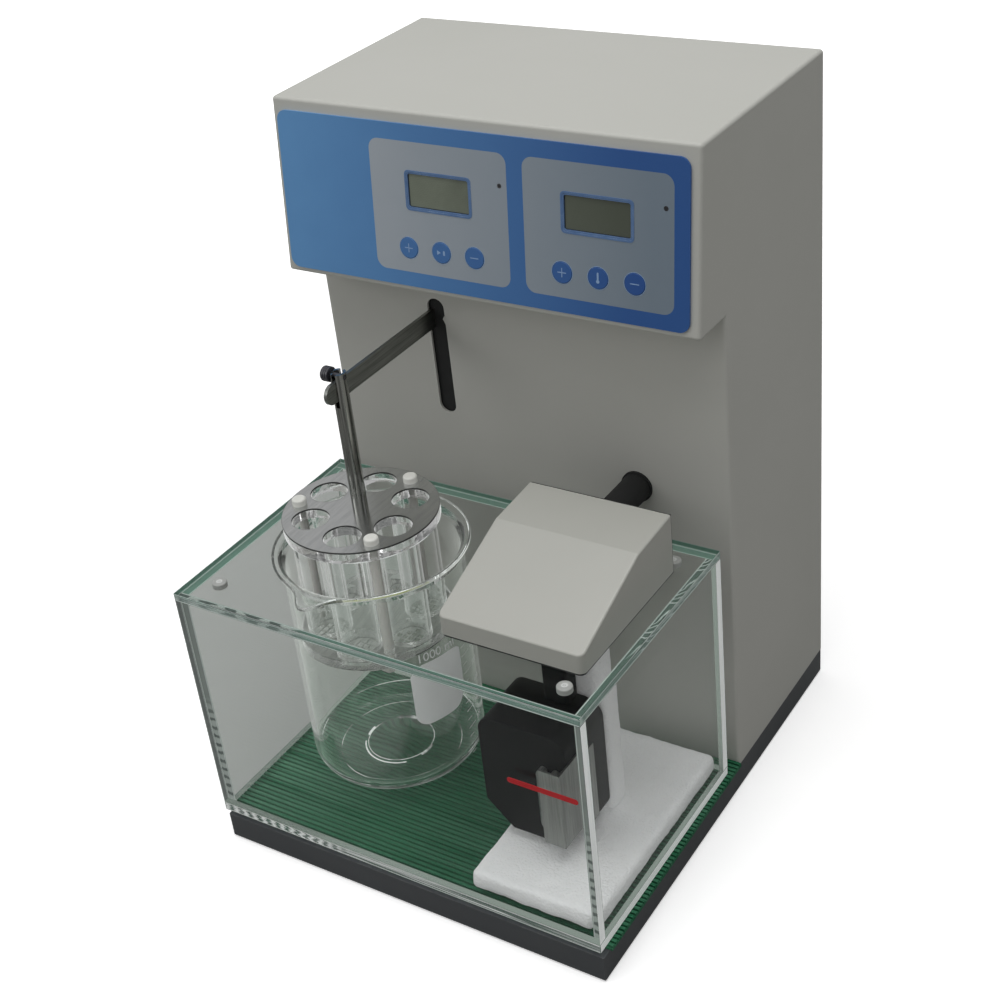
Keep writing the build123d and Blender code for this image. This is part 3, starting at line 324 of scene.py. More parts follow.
class Effect:
    """A shader node group with named inputs and outputs, built once."""

    built: dict[str, Tree] = {}

    @classmethod
    def tree(cls, name: str, inputs: Sequence[tuple[str, str, object]], outputs: Sequence[tuple[str, str]],
             wire: Callable[[Wiring, Node, Node], None]) -> Tree:
        """Make a group, or return it if it is there.

        Args:
            name: the group's name.
            inputs: name, socket type and default of each input after its coordinates.
            outputs: name and socket type of each output.
            wire: fills the group between its input and output nodes.

        Returns:
            The group.
        """
        if name not in cls.built:
            group = bpy.data.node_groups.new(name, "ShaderNodeTree")
            group.interface.new_socket("Vector", in_out="INPUT", socket_type="NodeSocketVector")
            for label, kind, default in inputs:
                socket = group.interface.new_socket(label, in_out="INPUT", socket_type="NodeSocket" + kind)
                socket.default_value = opaque(default) if kind == "Color" else default
            for label, kind in outputs:
                group.interface.new_socket(label, in_out="OUTPUT", socket_type="NodeSocket" + kind)
            wire(Wiring(group), group.nodes.new("NodeGroupInput"), group.nodes.new("NodeGroupOutput"))
            cls.built[name] = group
        return cls.built[name]

    @staticmethod
    def place(wiring: Wiring, tree: Tree, **values: object) -> Node:
        """Place a group in a material.

        Args:
            wiring: the material's wiring.
            tree: the group.
            **values: a value or a link for each named input.

        Returns:
            The group's node.
        """
        made = wiring.node("Group", node_tree=tree)
        wiring.fill(made, **values)
        return made

    @classmethod
    def grain(cls) -> Tree:
        """Fine orange-peel and speck relief of a painted or moulded surface."""
        def wire(wiring: Wiring, source: Node, sink: Node) -> None:
            """Sum a coarse and a fine noise."""
            vector, scale = source.outputs["Vector"], source.outputs["Scale"]
            coarse = wiring.noise(vector, scale, detail=2.0)
            fine = wiring.noise(vector, wiring.times(scale, 4.3), detail=1.0)
            height = wiring.plus(wiring.times(coarse, 0.7), wiring.times(fine, 0.3))
            wiring.fill(sink, Height=height, Mask=wiring.span(fine, 0.35, 0.7))
        return cls.tree("surface_grain", [("Scale", "Float", 600.0)],
                        [("Height", "Float"), ("Mask", "Float")], wire)

    @classmethod
    def drift(cls) -> Tree:
        """Slow change of colour over a surface, with faint clouds of handling."""
        def wire(wiring: Wiring, source: Node, sink: Node) -> None:
            """Mix the two colours by a broad noise."""
            clouds = wiring.noise(source.outputs["Vector"], source.outputs["Scale"], detail=4.0, rough=0.55,
                                  distortion=0.3)
            mask = wiring.span(clouds, 0.3, 0.72)
            share = wiring.times(mask, source.outputs["Amount"])
            color = wiring.blend(share, source.outputs["Base"], source.outputs["Shade"])
            wiring.fill(sink, Color=color, Mask=mask)
        return cls.tree("colour_drift",
                        [("Scale", "Float", 12.0), ("Base", "Color", (0.5, 0.5, 0.5)),
                         ("Shade", "Color", (0.4, 0.4, 0.4)), ("Amount", "Float", 0.3)],
                        [("Color", "Color"), ("Mask", "Float")], wire)

    @classmethod
    def worn_edge(cls) -> Tree:
        """A colour that shows along sharp edges, broken up by noise."""
        def wire(wiring: Wiring, source: Node, sink: Node) -> None:
            """Compare the true normal with one rounded over a small radius."""
            rounded = wiring.node("Bevel", samples=4)
            wiring.fill(rounded, Radius=source.outputs["Radius"])
            same = wiring.node("VectorMath", operation="DOT_PRODUCT")
            wiring.join(rounded.outputs["Normal"], same.inputs[0])
            wiring.join(wiring.node("NewGeometry").outputs["Normal"], same.inputs[1])
            edge = wiring.span(same.outputs["Value"], 0.995, 0.85)
            speckle = wiring.noise(source.outputs["Vector"], scale=160.0, detail=4.0)
            broken = wiring.span(speckle, 0.35, 0.62)
            mask = wiring.times(wiring.times(edge, broken), source.outputs["Amount"])
            wiring.fill(sink, Color=wiring.blend(mask, source.outputs["Base"], source.outputs["Bare"]))
        return cls.tree("worn_edge",
                        [("Radius", "Float", 0.001), ("Amount", "Float", 0.5),
                         ("Base", "Color", (0.5, 0.5, 0.5)), ("Bare", "Color", (0.7, 0.7, 0.7))],
                        [("Color", "Color")], wire)

    @classmethod
    def streaks(cls) -> Tree:
        """Fine lines along one direction, as on drawn or brushed metal."""
        def wire(wiring: Wiring, source: Node, sink: Node) -> None:
            """Sum two stretched noises; the coordinates come in stretched already."""
            vector, scale = source.outputs["Vector"], source.outputs["Scale"]
            fine = wiring.noise(vector, scale, detail=4.0, rough=0.6)
            broad = wiring.noise(vector, wiring.times(scale, 0.21), detail=2.0)
            height = wiring.plus(wiring.times(fine, 0.6), wiring.times(broad, 0.4))
            wiring.fill(sink, Height=height, Mask=wiring.span(height, 0.36, 0.66))
        return cls.tree("drawn_streaks", [("Scale", "Float", 900.0)],
                        [("Height", "Float"), ("Mask", "Float")], wire)

    @classmethod
    def smudge(cls) -> Tree:
        """Patches of finger marks and the rims of dried drops in them, on glossy things."""
        def wire(wiring: Wiring, source: Node, sink: Node) -> None:
            """Combine broad patches and small drops."""
            vector, scale = source.outputs["Vector"], source.outputs["Scale"]
            clouds = wiring.noise(vector, scale, detail=5.0, rough=0.6, distortion=0.8)
            patch = wiring.span(clouds, 0.52, 0.74)
            drops = wiring.node("TexVoronoi", feature="DISTANCE_TO_EDGE")
            wiring.fill(drops, Vector=vector, Scale=wiring.times(scale, 9.0))
            rings = wiring.span(drops.outputs["Distance"], 0.03, 0.0)
            mask = wiring.math("MAXIMUM", wiring.times(patch, 0.7), wiring.times(rings, patch))
            wiring.fill(sink, Mask=mask)
        return cls.tree("smudges", [("Scale", "Float", 14.0)], [("Mask", "Float")], wire)


class Finish:
    """What every finish has: a name, a material made once, and its shader."""

    made: dict[str, bpy.types.Material] = {}
    name: str

    def material(self) -> bpy.types.Material:
        """Return the finish's material, made on first use.

        Returns:
            The material.
        """
        if self.name not in Finish.made:
            material = bpy.data.materials.new(self.name)
            wiring = Wiring.fresh(material)
            shader = wiring.node("BsdfPrincipled")
            self.wire(wiring, shader)
            wiring.fill(wiring.node("OutputMaterial"), Surface=self.surface(wiring, shader))
            Finish.made[self.name] = material
        return Finish.made[self.name]

    def wire(self, wiring: Wiring, shader: Node) -> None:
        """Feed the material's shader."""
        raise NotImplementedError

    def surface(self, wiring: Wiring, shader: Node) -> Socket:
        """Return what the surface shows, which is the shader itself."""
        return shader.outputs["BSDF"]


@dataclass(frozen=True)
class Coating(Finish):
    """Painted or moulded surface with grain, colour drift and worn edges."""

    name: str
    color: Color
    shade: Color
    roughness: float = 0.5
    rough_spread: float = 0.08
    grain_scale: float = 700.0
    grain_depth: float = 0.00004
    drift_scale: float = 9.0
    drift_amount: float = 0.5
    edge_color: Color = (0.7, 0.7, 0.7)
    edge_radius: float = 0.0012
    edge_amount: float = 0.4
    coat: float = 0.0
    coat_rough: float = 0.12
    specular: float = 0.5
    see_through: float = 0.0
    glow: float = 0.0

    def wire(self, wiring: Wiring, shader: Node) -> None:
        """Drift, then edge wear, then roughness and grain relief.

        Args:
            wiring: the material's wiring.
            shader: its shader.
        """
        vector = wiring.placed()
        drift = Effect.place(wiring, Effect.drift(), Vector=vector, Scale=self.drift_scale, Base=self.color,
                             Shade=self.shade, Amount=self.drift_amount)
        worn = Effect.place(wiring, Effect.worn_edge(), Vector=vector, Radius=self.edge_radius,
                            Amount=self.edge_amount, Base=drift.outputs["Color"], Bare=self.edge_color)
        grain = Effect.place(wiring, Effect.grain(), Vector=vector, Scale=self.grain_scale)
        rough = wiring.span(drift.outputs["Mask"], 0.0, 1.0, self.roughness - self.rough_spread,
                            self.roughness + self.rough_spread)
        wiring.fill(shader, Base_Color=worn.outputs["Color"], Roughness=rough,
                    Normal=wiring.bump(grain.outputs["Height"], self.grain_depth),
                    Specular_IOR_Level=self.specular, Coat_Weight=self.coat, Coat_Roughness=self.coat_rough,
                    Transmission_Weight=self.see_through)
        # Painted light: an emission in the surface's own colour.
        if self.glow > 0:
            wiring.fill(shader, Emission_Color=worn.outputs["Color"], Emission_Strength=self.glow)


@dataclass(frozen=True)
class Metal(Finish):
    """Bare metal with drawn lines along one axis and faint marks."""

    name: str
    color: Color
    dark: Color
    roughness: float = 0.2
    rough_spread: float = 0.1
    stretch: Point = (1.0, 0.03, 1.0)
    line_scale: float = 1400.0
    line_depth: float = 0.000008
    mark_scale: float = 22.0
    mark_rough: float = 0.12

    def wire(self, wiring: Wiring, shader: Node) -> None:
        """Streaks drive colour, roughness and relief; smudges dull the shine in patches.

        Args:
            wiring: the material's wiring.
            shader: its shader.
        """
        streaks = Effect.place(wiring, Effect.streaks(), Vector=wiring.placed(scale=self.stretch),
                               Scale=self.line_scale)
        smudge = Effect.place(wiring, Effect.smudge(), Vector=wiring.placed(), Scale=self.mark_scale)
        mask = streaks.outputs["Mask"]
        rough = wiring.span(mask, 0.0, 1.0, self.roughness + self.rough_spread, self.roughness)
        wiring.fill(shader, Base_Color=wiring.blend(mask, self.dark, self.color), Metallic=1.0,
                    Roughness=wiring.plus(rough, wiring.times(smudge.outputs["Mask"], self.mark_rough)),
                    Normal=wiring.bump(streaks.outputs["Height"], self.line_depth))


@dataclass(frozen=True)
class Clear(Finish):
    """Clear sheet or glass, which lets light through to what stands behind it."""

    name: str
    tint: Color
    ior: float = 1.49
    roughness: float = 0.0
    wave_scale: float = 30.0
    wave_depth: float = 0.00002
    mark_scale: float = 12.0
    mark_rough: float = 0.06
    reflect: float = 0.5
    glow: float = 0.0
    glow_color: Color = WHITE
    glow_power: float = 4.0
    depth_limit: float = 10.5
    stray_color: Color = tone(142, 148, 143)

    def wire(self, wiring: Wiring, shader: Node) -> None:
        """Refract with slight waves and dull marks, with a painted highlight, an emission, along grazing
        edges.

        Args:
            wiring: the material's wiring.
            shader: its shader.
        """
        vector = wiring.placed()
        smudge = Effect.place(wiring, Effect.smudge(), Vector=vector, Scale=self.mark_scale)
        rough = wiring.span(smudge.outputs["Mask"], 0.0, 1.0, self.roughness,
                            self.roughness + self.mark_rough)
        waves = wiring.noise(vector, self.wave_scale, detail=2.0)
        wiring.fill(shader, Base_Color=self.tint, Transmission_Weight=1.0, IOR=self.ior, Roughness=rough,
                    Specular_IOR_Level=self.reflect, Normal=wiring.bump(waves, self.wave_depth))
        # Painted highlight: an emission that grows at grazing angles.
        if self.glow > 0:
            facing = wiring.node("LayerWeight").outputs["Facing"]
            edge = wiring.times(wiring.math("POWER", facing, self.glow_power), self.glow)
            wiring.fill(shader, Emission_Strength=edge, Emission_Color=self.glow_color)

    def surface(self, wiring: Wiring, shader: Node) -> Socket:
        """Let light pass to what stands behind, and give the rays lost in many sheets a flat grey emission,
        painted light.

        Args:
            wiring: the material's wiring.
            shader: its shader.

        Returns:
            What the surface shows.
        """
        path = wiring.node("LightPath")
        # Painted light: rays past the depth limit end in a flat grey emission.
        stray = wiring.node("Emission")
        wiring.fill(stray, Color=self.stray_color)
        late = wiring.math("GREATER_THAN", path.outputs["Ray Depth"], self.depth_limit)
        lost = wiring.mixed(late, shader.outputs["BSDF"], stray.outputs["Emission"])
        clear = wiring.node("BsdfTransparent")
        wiring.fill(clear, Color=WHITE)
        passing = wiring.math("MAXIMUM", path.outputs["Is Shadow Ray"], path.outputs["Is Diffuse Ray"])
        return wiring.mixed(passing, lost, clear.outputs["BSDF"])


@dataclass(frozen=True)
class Ribbed(Finish):
    """Ribbed rubber mat: fine lines of lighter green along the ribs, stronger towards its left side as
    painted light.
    """

    name: str
    color: Color
    shade: Color
    pale: Color
    stretch: Point = (0.02, 1.0, 0.2)
    streak_scale: float = 500.0
    drift_scale: float = 11.0
    drift_amount: float = 0.8
    grain_scale: float = 900.0
    rough_span: Pair = (0.7, 0.55)
    specular: float = 0.2
    # Painted light: between these two x values the pale streaks fade from the first share to the second.
    painted_light_x: float = -0.115
    painted_light_end_x: float = -0.045
    painted_light_share: float = 0.8
    plain_streak_share: float = 0.26
    streak_depth: float = 0.00025
    grain_depth: float = 0.00004

    def wire(self, wiring: Wiring, shader: Node) -> None:
        """Long thin streaks along the ribs, broad drift, painted light towards the left, fine rubber grain.

        Args:
            wiring: the material's wiring.
            shader: its shader.
        """
        vector = wiring.placed()
        streaks = Effect.place(wiring, Effect.streaks(), Vector=wiring.placed(scale=self.stretch),
                               Scale=self.streak_scale)
        drift = Effect.place(wiring, Effect.drift(), Vector=vector, Scale=self.drift_scale, Base=self.color,
                             Shade=self.shade, Amount=self.drift_amount)
        grain = Effect.place(wiring, Effect.grain(), Vector=vector, Scale=self.grain_scale)
        mask = streaks.outputs["Mask"]
        # Painted light: the pale streaks grow stronger towards the left, where more light falls on the mat.
        painted_light = wiring.span(wiring.part(vector, "X"), self.painted_light_x, self.painted_light_end_x, self.painted_light_share,
                             self.plain_streak_share)
        ribs = wiring.bump(streaks.outputs["Height"], self.streak_depth)
        color = wiring.blend(wiring.times(mask, painted_light), drift.outputs["Color"], self.pale)
        wiring.fill(shader, Base_Color=color, Roughness=wiring.span(mask, 0.0, 1.0, *self.rough_span),
                    Specular_IOR_Level=self.specular,
                    Normal=wiring.bump(grain.outputs["Height"], self.grain_depth, ribs))


@dataclass(frozen=True)
class Film(Finish):
    """Printed film that changes from one colour to another across it, with a fine texture."""

    name: str
    left: Color
    right: Color
    left_x: float
    right_x: float
    roughness: float = 0.34
    rough_spread: float = 0.1
    drift_scale: float = 14.0
    drift_amount: float = 0.16
    grain_scale: float = 1500.0
    grain_depth: float = 0.00001

    def wire(self, wiring: Wiring, shader: Node) -> None:
        """A ramp across the width, with drift and fine texture over it.

        Args:
            wiring: the material's wiring.
            shader: its shader.
        """
        vector = wiring.placed()
        across = wiring.span(wiring.part(vector, "X"), self.left_x, self.right_x)
        drift = Effect.place(wiring, Effect.drift(), Vector=vector, Scale=self.drift_scale, Shade=self.right,
                             Base=wiring.blend(across, self.left, self.right), Amount=self.drift_amount)
        grain = Effect.place(wiring, Effect.grain(), Vector=vector, Scale=self.grain_scale)
        rough = wiring.span(grain.outputs["Mask"], 0.0, 1.0, self.roughness,
                            self.roughness + self.rough_spread)
        wiring.fill(shader, Base_Color=drift.outputs["Color"], Roughness=rough,
                    Normal=wiring.bump(grain.outputs["Height"], self.grain_depth))


@dataclass(frozen=True)
class FoamStuff(Finish):
    """White expanded foam with open, fuzzy cells."""

    name: str
    color: Color
    shade: Color
    cell_scale: float = 620.0
    pit_span: Pair = (0.15, 0.65)
    pit_shade: float = 0.35
    fibre_scale: float = 900.0
    depth: float = 0.0005
    drift_scale: float = 26.0
    drift_amount: float = 0.5
    roughness: float = 0.95
    sheen: float = 0.25
    scatter: float = 0.15
    scatter_reach: Point = (0.004, 0.004, 0.004)
    # Painted light: a faint emission that brightens the foam.
    painted_inner_glow: float = 0.06

    def wire(self, wiring: Wiring, shader: Node) -> None:
        """Cell pattern in colour and relief, with broad soft shading, some sheen and a faint painted glow.

        Args:
            wiring: the material's wiring.
            shader: its shader.
        """
        vector = wiring.placed()
        cells = wiring.node("TexVoronoi", feature="F1")
        wiring.fill(cells, Vector=vector, Scale=self.cell_scale)
        pits = wiring.span(cells.outputs["Distance"], *self.pit_span)
        drift = Effect.place(wiring, Effect.drift(), Vector=vector, Scale=self.drift_scale, Base=self.color,
                             Shade=self.shade, Amount=self.drift_amount)
        fibres = wiring.noise(vector, self.fibre_scale, detail=5.0, rough=0.7)
        height = wiring.plus(wiring.times(pits, 0.5), wiring.times(fibres, 0.5))
        color = wiring.blend(wiring.times(pits, self.pit_shade), drift.outputs["Color"], self.shade)
        wiring.fill(shader, Base_Color=color, Roughness=self.roughness, Sheen_Weight=self.sheen,
                    Emission_Color=self.color, Emission_Strength=self.painted_inner_glow,
                    Subsurface_Weight=self.scatter, Subsurface_Radius=self.scatter_reach,
                    Normal=wiring.bump(height, self.depth))


@dataclass(frozen=True)
class CutEdge(Finish):
    """Sawn edge of a clear sheet: painted highlight rims, streaks and blocks from outside, plain from inside.
    """

    name: str
    pale: Color
    bright: Color
    deep: Color
    deep_bright: Color
    body_alpha: float = 0.4
    rim_alpha: float = 0.95
    inside_alpha: float = 0.85
    streak: float = 0.4
    streak_rates: Pair = (12.0, 5.0)
    streak_span: Pair = (0.45, 0.58)
    block_rate: float = 140.0
    block_sway: float = 1.6
    block_span: Pair = (0.2, 0.3)
    block_until: float = 0.0
    block_fade: float = 0.01
    outside_glow: float = 0.16
    inside_glow: float = 0.05
    roughness: float = 0.38

    def wire(self, wiring: Wiring, shader: Node) -> None:
        """Long streaks and, in the first stretch, blocks; painted highlight rims and glow; plain on the inner
        side.

        Args:
            wiring: the material's wiring.
            shader: its shader.
        """
        long, across, rim = wiring.strip()
        lines = wiring.plane(wiring.times(long, self.streak_rates[0]),
                             wiring.times(across, self.streak_rates[1]))
        streak = wiring.span(wiring.noise(lines, scale=1.0, detail=4.0, rough=0.6), *self.streak_span)
        wobble = wiring.times(wiring.noise(lines, scale=2.0, detail=2.0), self.block_sway)
        steps = wiring.math("FRACT", wiring.plus(wiring.times(long, self.block_rate), wobble))
        block = wiring.span(wiring.off_middle(steps), *self.block_span)
        stretch = wiring.span(long, self.block_until + self.block_fade, self.block_until - self.block_fade)
        body = wiring.span(stretch, 0.0, 1.0, wiring.times(streak, self.streak), block)
        outside = wiring.math("MAXIMUM", rim, body)
        inner = wiring.node("NewGeometry").outputs["Backfacing"]
        mask = wiring.span(inner, 0.0, 1.0, outside, rim)
        plain = wiring.blend(inner, self.pale, self.deep)
        color = wiring.blend(mask, plain, wiring.blend(inner, self.bright, self.deep_bright))
        low = wiring.span(inner, 0.0, 1.0, self.body_alpha, self.inside_alpha)
        wiring.fill(shader, Base_Color=color, Emission_Color=color, Roughness=self.roughness,
                    Emission_Strength=wiring.span(inner, 0.0, 1.0, self.outside_glow, self.inside_glow),
                    Alpha=wiring.span(mask, 0.0, 1.0, low, self.rim_alpha))


@dataclass(frozen=True)
class GlueJoint(Finish):
    """Glued joint between two clear sheets: plain along part of it, a ladder of trapped bubbles elsewhere."""

    name: str
    fill: Color
    gap: Color
    mark: Color
    line: Color
    fill_alpha: float = 0.35
    gap_alpha: float = 0.3
    mark_alpha: float = 0.85
    line_alpha: float = 0.9
    step_rate: float = 125.0
    mark_share: float = 0.3
    mark_fade: float = 0.06
    sway: float = 0.6
    sway_rates: Pair = (0.8, 1.5)
    since: float = -1.0
    until: float = 0.085
    fade: float = 0.008
    lean: float = 0.0
    lean_rate: float = 60.0
    glow: float = 0.05
    roughness: float = 0.3

    def wire(self, wiring: Wiring, shader: Node) -> None:
        """Cross marks at uneven steps over one stretch, a plain fill elsewhere, and painted highlight rims
        all along.

        Args:
            wiring: the material's wiring.
            shader: its shader.
        """
        long, across, rim = wiring.strip()
        spread = wiring.plane(wiring.times(long, self.step_rate * self.sway_rates[0]),
                              wiring.times(across, self.sway_rates[1]))
        wobble = wiring.times(wiring.noise(spread, scale=1.0, detail=2.0), self.sway)
        slant = wiring.times(wiring.math("PINGPONG", wiring.times(long, self.lean_rate), 1.0), self.lean)
        shift = wiring.plus(wobble, wiring.times(across, slant))
        steps = wiring.math("FRACT", wiring.plus(wiring.times(long, self.step_rate), shift))
        edge = 0.5 - self.mark_share
        cross = wiring.span(wiring.off_middle(steps), edge - self.mark_fade, edge + self.mark_fade)
        stretch = wiring.times(wiring.span(long, self.until + self.fade, self.until - self.fade),
                               wiring.span(long, self.since - self.fade, self.since + self.fade))
        ladder = wiring.blend(cross, self.gap, self.mark)
        color = wiring.blend(rim, wiring.blend(stretch, self.fill, ladder), self.line)
        marks = wiring.span(cross, 0.0, 1.0, self.gap_alpha, self.mark_alpha)
        body = wiring.span(stretch, 0.0, 1.0, self.fill_alpha, marks)
        # The emission is painted light; the pale rims are painted highlights.
        wiring.fill(shader, Base_Color=color, Emission_Color=color, Emission_Strength=self.glow,
                    Roughness=self.roughness, Alpha=wiring.span(rim, 0.0, 1.0, body, self.line_alpha))


@dataclass(frozen=True)
class Glint(Finish):
    """Thin line of light or shade in clear glass or sheet, broken up along its length."""

    name: str
    color: Color
    glow: float = 0.35
    alpha: float = 0.85
    break_scale: float = 55.0
    break_span: Pair = (0.38, 0.56)
    roughness: float = 0.15

    def wire(self, wiring: Wiring, shader: Node) -> None:
        """A plain line that fades in and out.

        Args:
            wiring: the material's wiring.
            shader: its shader.
        """
        broken = wiring.span(wiring.noise(wiring.placed(), self.break_scale, rough=0.6), *self.break_span)
        wiring.fill(shader, Base_Color=self.color, Emission_Color=self.color, Roughness=self.roughness,
                    Emission_Strength=wiring.times(broken, self.glow), Alpha=wiring.times(broken, self.alpha))


@dataclass(frozen=True)
class DisplayPane(Finish):
    """Blank liquid-crystal pane: olive grey, darker at one side, with faint unlit segments."""

    name: str
    left: Color
    right: Color
    left_x: float
    right_x: float
    drift_scale: float = 60.0
    drift_amount: float = 0.35
    cell_lean: float = -84.0
    cell_scale: float = 260.0
    cell_gap: float = 0.04
    cell_share: float = 0.12
    roughness: float = 0.16
    coat: float = 0.6
    coat_rough: float = 0.08

    def wire(self, wiring: Wiring, shader: Node) -> None:
        """A ramp across the width with cloudy drift, and a faint grid of cells.

        Args:
            wiring: the material's wiring.
            shader: its shader.
        """
        vector = wiring.placed()
        across = wiring.span(wiring.part(vector, "X"), self.left_x, self.right_x)
        drift = Effect.place(wiring, Effect.drift(), Vector=vector, Scale=self.drift_scale, Shade=self.right,
                             Base=wiring.blend(across, self.left, self.right), Amount=self.drift_amount)
        cells = wiring.node("TexBrick")
        wiring.fill(cells, Vector=wiring.placed(turn=(math.radians(self.cell_lean), 0.0, 0.0)),
                    Scale=self.cell_scale, Mortar_Size=self.cell_gap)
        faint = wiring.times(cells.outputs["Fac"], self.cell_share)
        wiring.fill(shader, Base_Color=wiring.blend(faint, drift.outputs["Color"], self.right),
                    Roughness=self.roughness, Coat_Weight=self.coat, Coat_Roughness=self.coat_rough)


HOUSING = Coating("housing_powder_coat", tone(196, 196, 190), tone(186, 187, 180), roughness=0.52,
                  grain_scale=900.0, grain_depth=0.00005, drift_scale=5.0, drift_amount=0.5,
                  edge_color=tone(222, 222, 218), edge_radius=0.002, edge_amount=0.5, specular=0.4)
HOOD = Coating("hood_moulding", tone(184, 184, 177), tone(175, 176, 169), roughness=0.4, grain_scale=500.0,
               grain_depth=0.00003, edge_color=tone(228, 228, 222), edge_radius=0.0015,
               edge_amount=0.45, coat=0.15)
BLACK_BASE = Coating("base_powder_coat", tone(76, 79, 82), tone(64, 67, 70), roughness=0.48,
                     grain_scale=800.0, grain_depth=0.00006, edge_color=tone(112, 114, 114), edge_amount=0.7)
BLACK_PLASTIC = Coating("black_moulding", tone(30, 32, 33), tone(40, 42, 43), roughness=0.42,
                        grain_scale=1100.0, grain_depth=0.00004, edge_color=tone(70, 72, 73), edge_amount=0.5)
BLACK_RUBBER = Coating("black_rubber", tone(20, 21, 21), tone(29, 29, 30), roughness=0.75, grain_scale=1300.0,
                       grain_depth=0.00006, edge_color=tone(60, 60, 60), edge_amount=0.3)
NYLON = Coating("white_nylon", tone(232, 232, 226), tone(216, 217, 210), roughness=0.4, grain_scale=900.0,
                grain_depth=0.00002, edge_color=tone(244, 244, 240), edge_amount=0.4, drift_scale=60.0)
MOTOR_PAINT = Coating("motor_paint", tone(96, 100, 104), tone(84, 88, 92), roughness=0.45,
                      edge_color=tone(160, 160, 160), edge_amount=0.8)
CIRCUIT = Coating("circuit_lacquer", tone(36, 104, 58), tone(24, 84, 46), roughness=0.35, grain_scale=1500.0,
                  drift_scale=120.0, drift_amount=0.9, edge_color=tone(160, 150, 90), edge_amount=0.4,
                  coat=0.4)
RED_PRINT = Coating("red_print", tone(206, 32, 40), tone(188, 24, 34), roughness=0.4, drift_scale=90.0,
                    edge_amount=0.0)
PANEL_GREY = Film("panel_grey_film", tone(172, 180, 188), tone(122, 136, 149), -0.066, 0.105, 0.36)
PANEL_BLUE = Film("panel_blue_film", tone(102, 158, 212), tone(43, 89, 154), -0.12, 0.09, 0.3)
KEY_BLUE = Film("key_blue_film", tone(74, 122, 180), tone(38, 82, 150), -0.044, 0.1, 0.32)
LAMP_DARK = Coating("lamp_lens", tone(24, 26, 30), tone(34, 36, 44), roughness=0.2, edge_amount=0.2, coat=0.6)
# Its light edges are partly wear through the blackening and partly a painted highlight.
KNURLED = Coating("blackened_steel", tone(62, 62, 68), tone(40, 40, 45), roughness=0.34, grain_scale=700.0,
                  edge_color=tone(130, 130, 134), edge_radius=0.0006, edge_amount=0.9, coat=0.3)
ZINC = Metal("zinc_plate", tone(190, 192, 196), tone(160, 164, 170), roughness=0.32)
BRASS = Metal("sintered_brass", tone(206, 170, 100), tone(170, 132, 70), roughness=0.34)
STAINLESS = Metal("drawn_stainless", tone(188, 188, 184), tone(120, 120, 116), roughness=0.24)
GUARD_STEEL = Metal("guard_stainless", tone(166, 168, 165), tone(138, 140, 137), roughness=0.36,
                    stretch=(1.0, 1.0, 0.03))
SCREEN_WIRE = Metal("bright_wire", tone(232, 233, 230), tone(190, 192, 190), roughness=0.3)
BAR_STEEL = Metal("drawn_bar", tone(156, 158, 154), tone(118, 120, 116), roughness=0.3)
# The strong light and dark lines along the shaft are partly drawn lines and partly painted reflections.
SHAFT_STEEL = Metal("polished_shaft", tone(216, 216, 212), tone(84, 86, 82), roughness=0.12,
                    stretch=(1.0, 1.0, 0.02), line_scale=700.0)
DISC_STEEL = Metal("polished_disc", tone(224, 225, 224), tone(200, 202, 202), roughness=0.17,
                   stretch=(1.0, 0.05, 1.0))
# Painted shade: the dark bands at the steel disc's edge and in its holes.
DISC_EDGE_SHADE = Coating("disc_edge_painted_shade", tone(66, 68, 66), tone(50, 52, 50), roughness=0.45, grain_scale=900.0,
                    edge_amount=0.1)
BATH_SHEET = Clear("bath_sheet", tone(251, 253, 252), ior=1.2, wave_scale=16.0, mark_scale=9.0,
                   mark_rough=0.03)
RACK_SHEET = Clear("rack_sheet", tone(254, 254, 254), ior=1.3, wave_scale=300.0, wave_depth=0.0003,
                   mark_scale=30.0, glow=0.5)
TUBE_GLASS = Clear("tube_glass", tone(254, 254, 254), ior=1.3, wave_scale=45.0, wave_depth=0.00003,
                   mark_scale=24.0, glow=0.3)
LAB_GLASS = Clear("lab_glass", tone(251, 253, 251), ior=1.47, wave_scale=26.0, wave_depth=0.00004,
                  mark_scale=20.0, glow=0.16, glow_color=(0.96, 1.0, 0.95))
INSIDE_GREEN = tone(84, 132, 114)
INSIDE_LIGHT = tone(160, 196, 184)
SHEET_EDGE = CutEdge("sheet_cut_edge", tone(150, 168, 162), tone(222, 228, 226), INSIDE_GREEN, INSIDE_LIGHT,
                     body_alpha=0.3)
FLOOR_EDGE = CutEdge("floor_cut_edge", tone(140, 148, 146), tone(240, 242, 241), INSIDE_GREEN, INSIDE_LIGHT,
                     body_alpha=0.45, streak=0.9, block_until=0.085)
# Painted light: the edges that face right are painted near white, as their lit side.
BRIGHT_EDGE = CutEdge("bright_cut_edge", tone(222, 225, 224), tone(246, 247, 247), INSIDE_GREEN,
                      INSIDE_LIGHT, body_alpha=0.97, streak=0.5, outside_glow=0.3)
WALL_END = CutEdge("wall_cut_end", tone(150, 156, 154), tone(222, 226, 225), tone(122, 128, 126),
                   tone(196, 201, 199), body_alpha=0.4, inside_alpha=0.75)
WALL_JOINT = GlueJoint("wall_glue_joint", tone(132, 137, 136), tone(196, 200, 199), tone(92, 98, 98),
                       tone(210, 215, 214), fill_alpha=0.7, gap_alpha=0.5, step_rate=155.0, mark_share=0.2,
                       until=0.072)
FLOOR_JOINT = GlueJoint("floor_glue_joint", tone(120, 130, 126), tone(110, 122, 118), tone(240, 243, 242),
                        tone(236, 240, 238), fill_alpha=0.15, gap_alpha=0.25, step_rate=140.0, until=0.09,
                        glow=0.12)
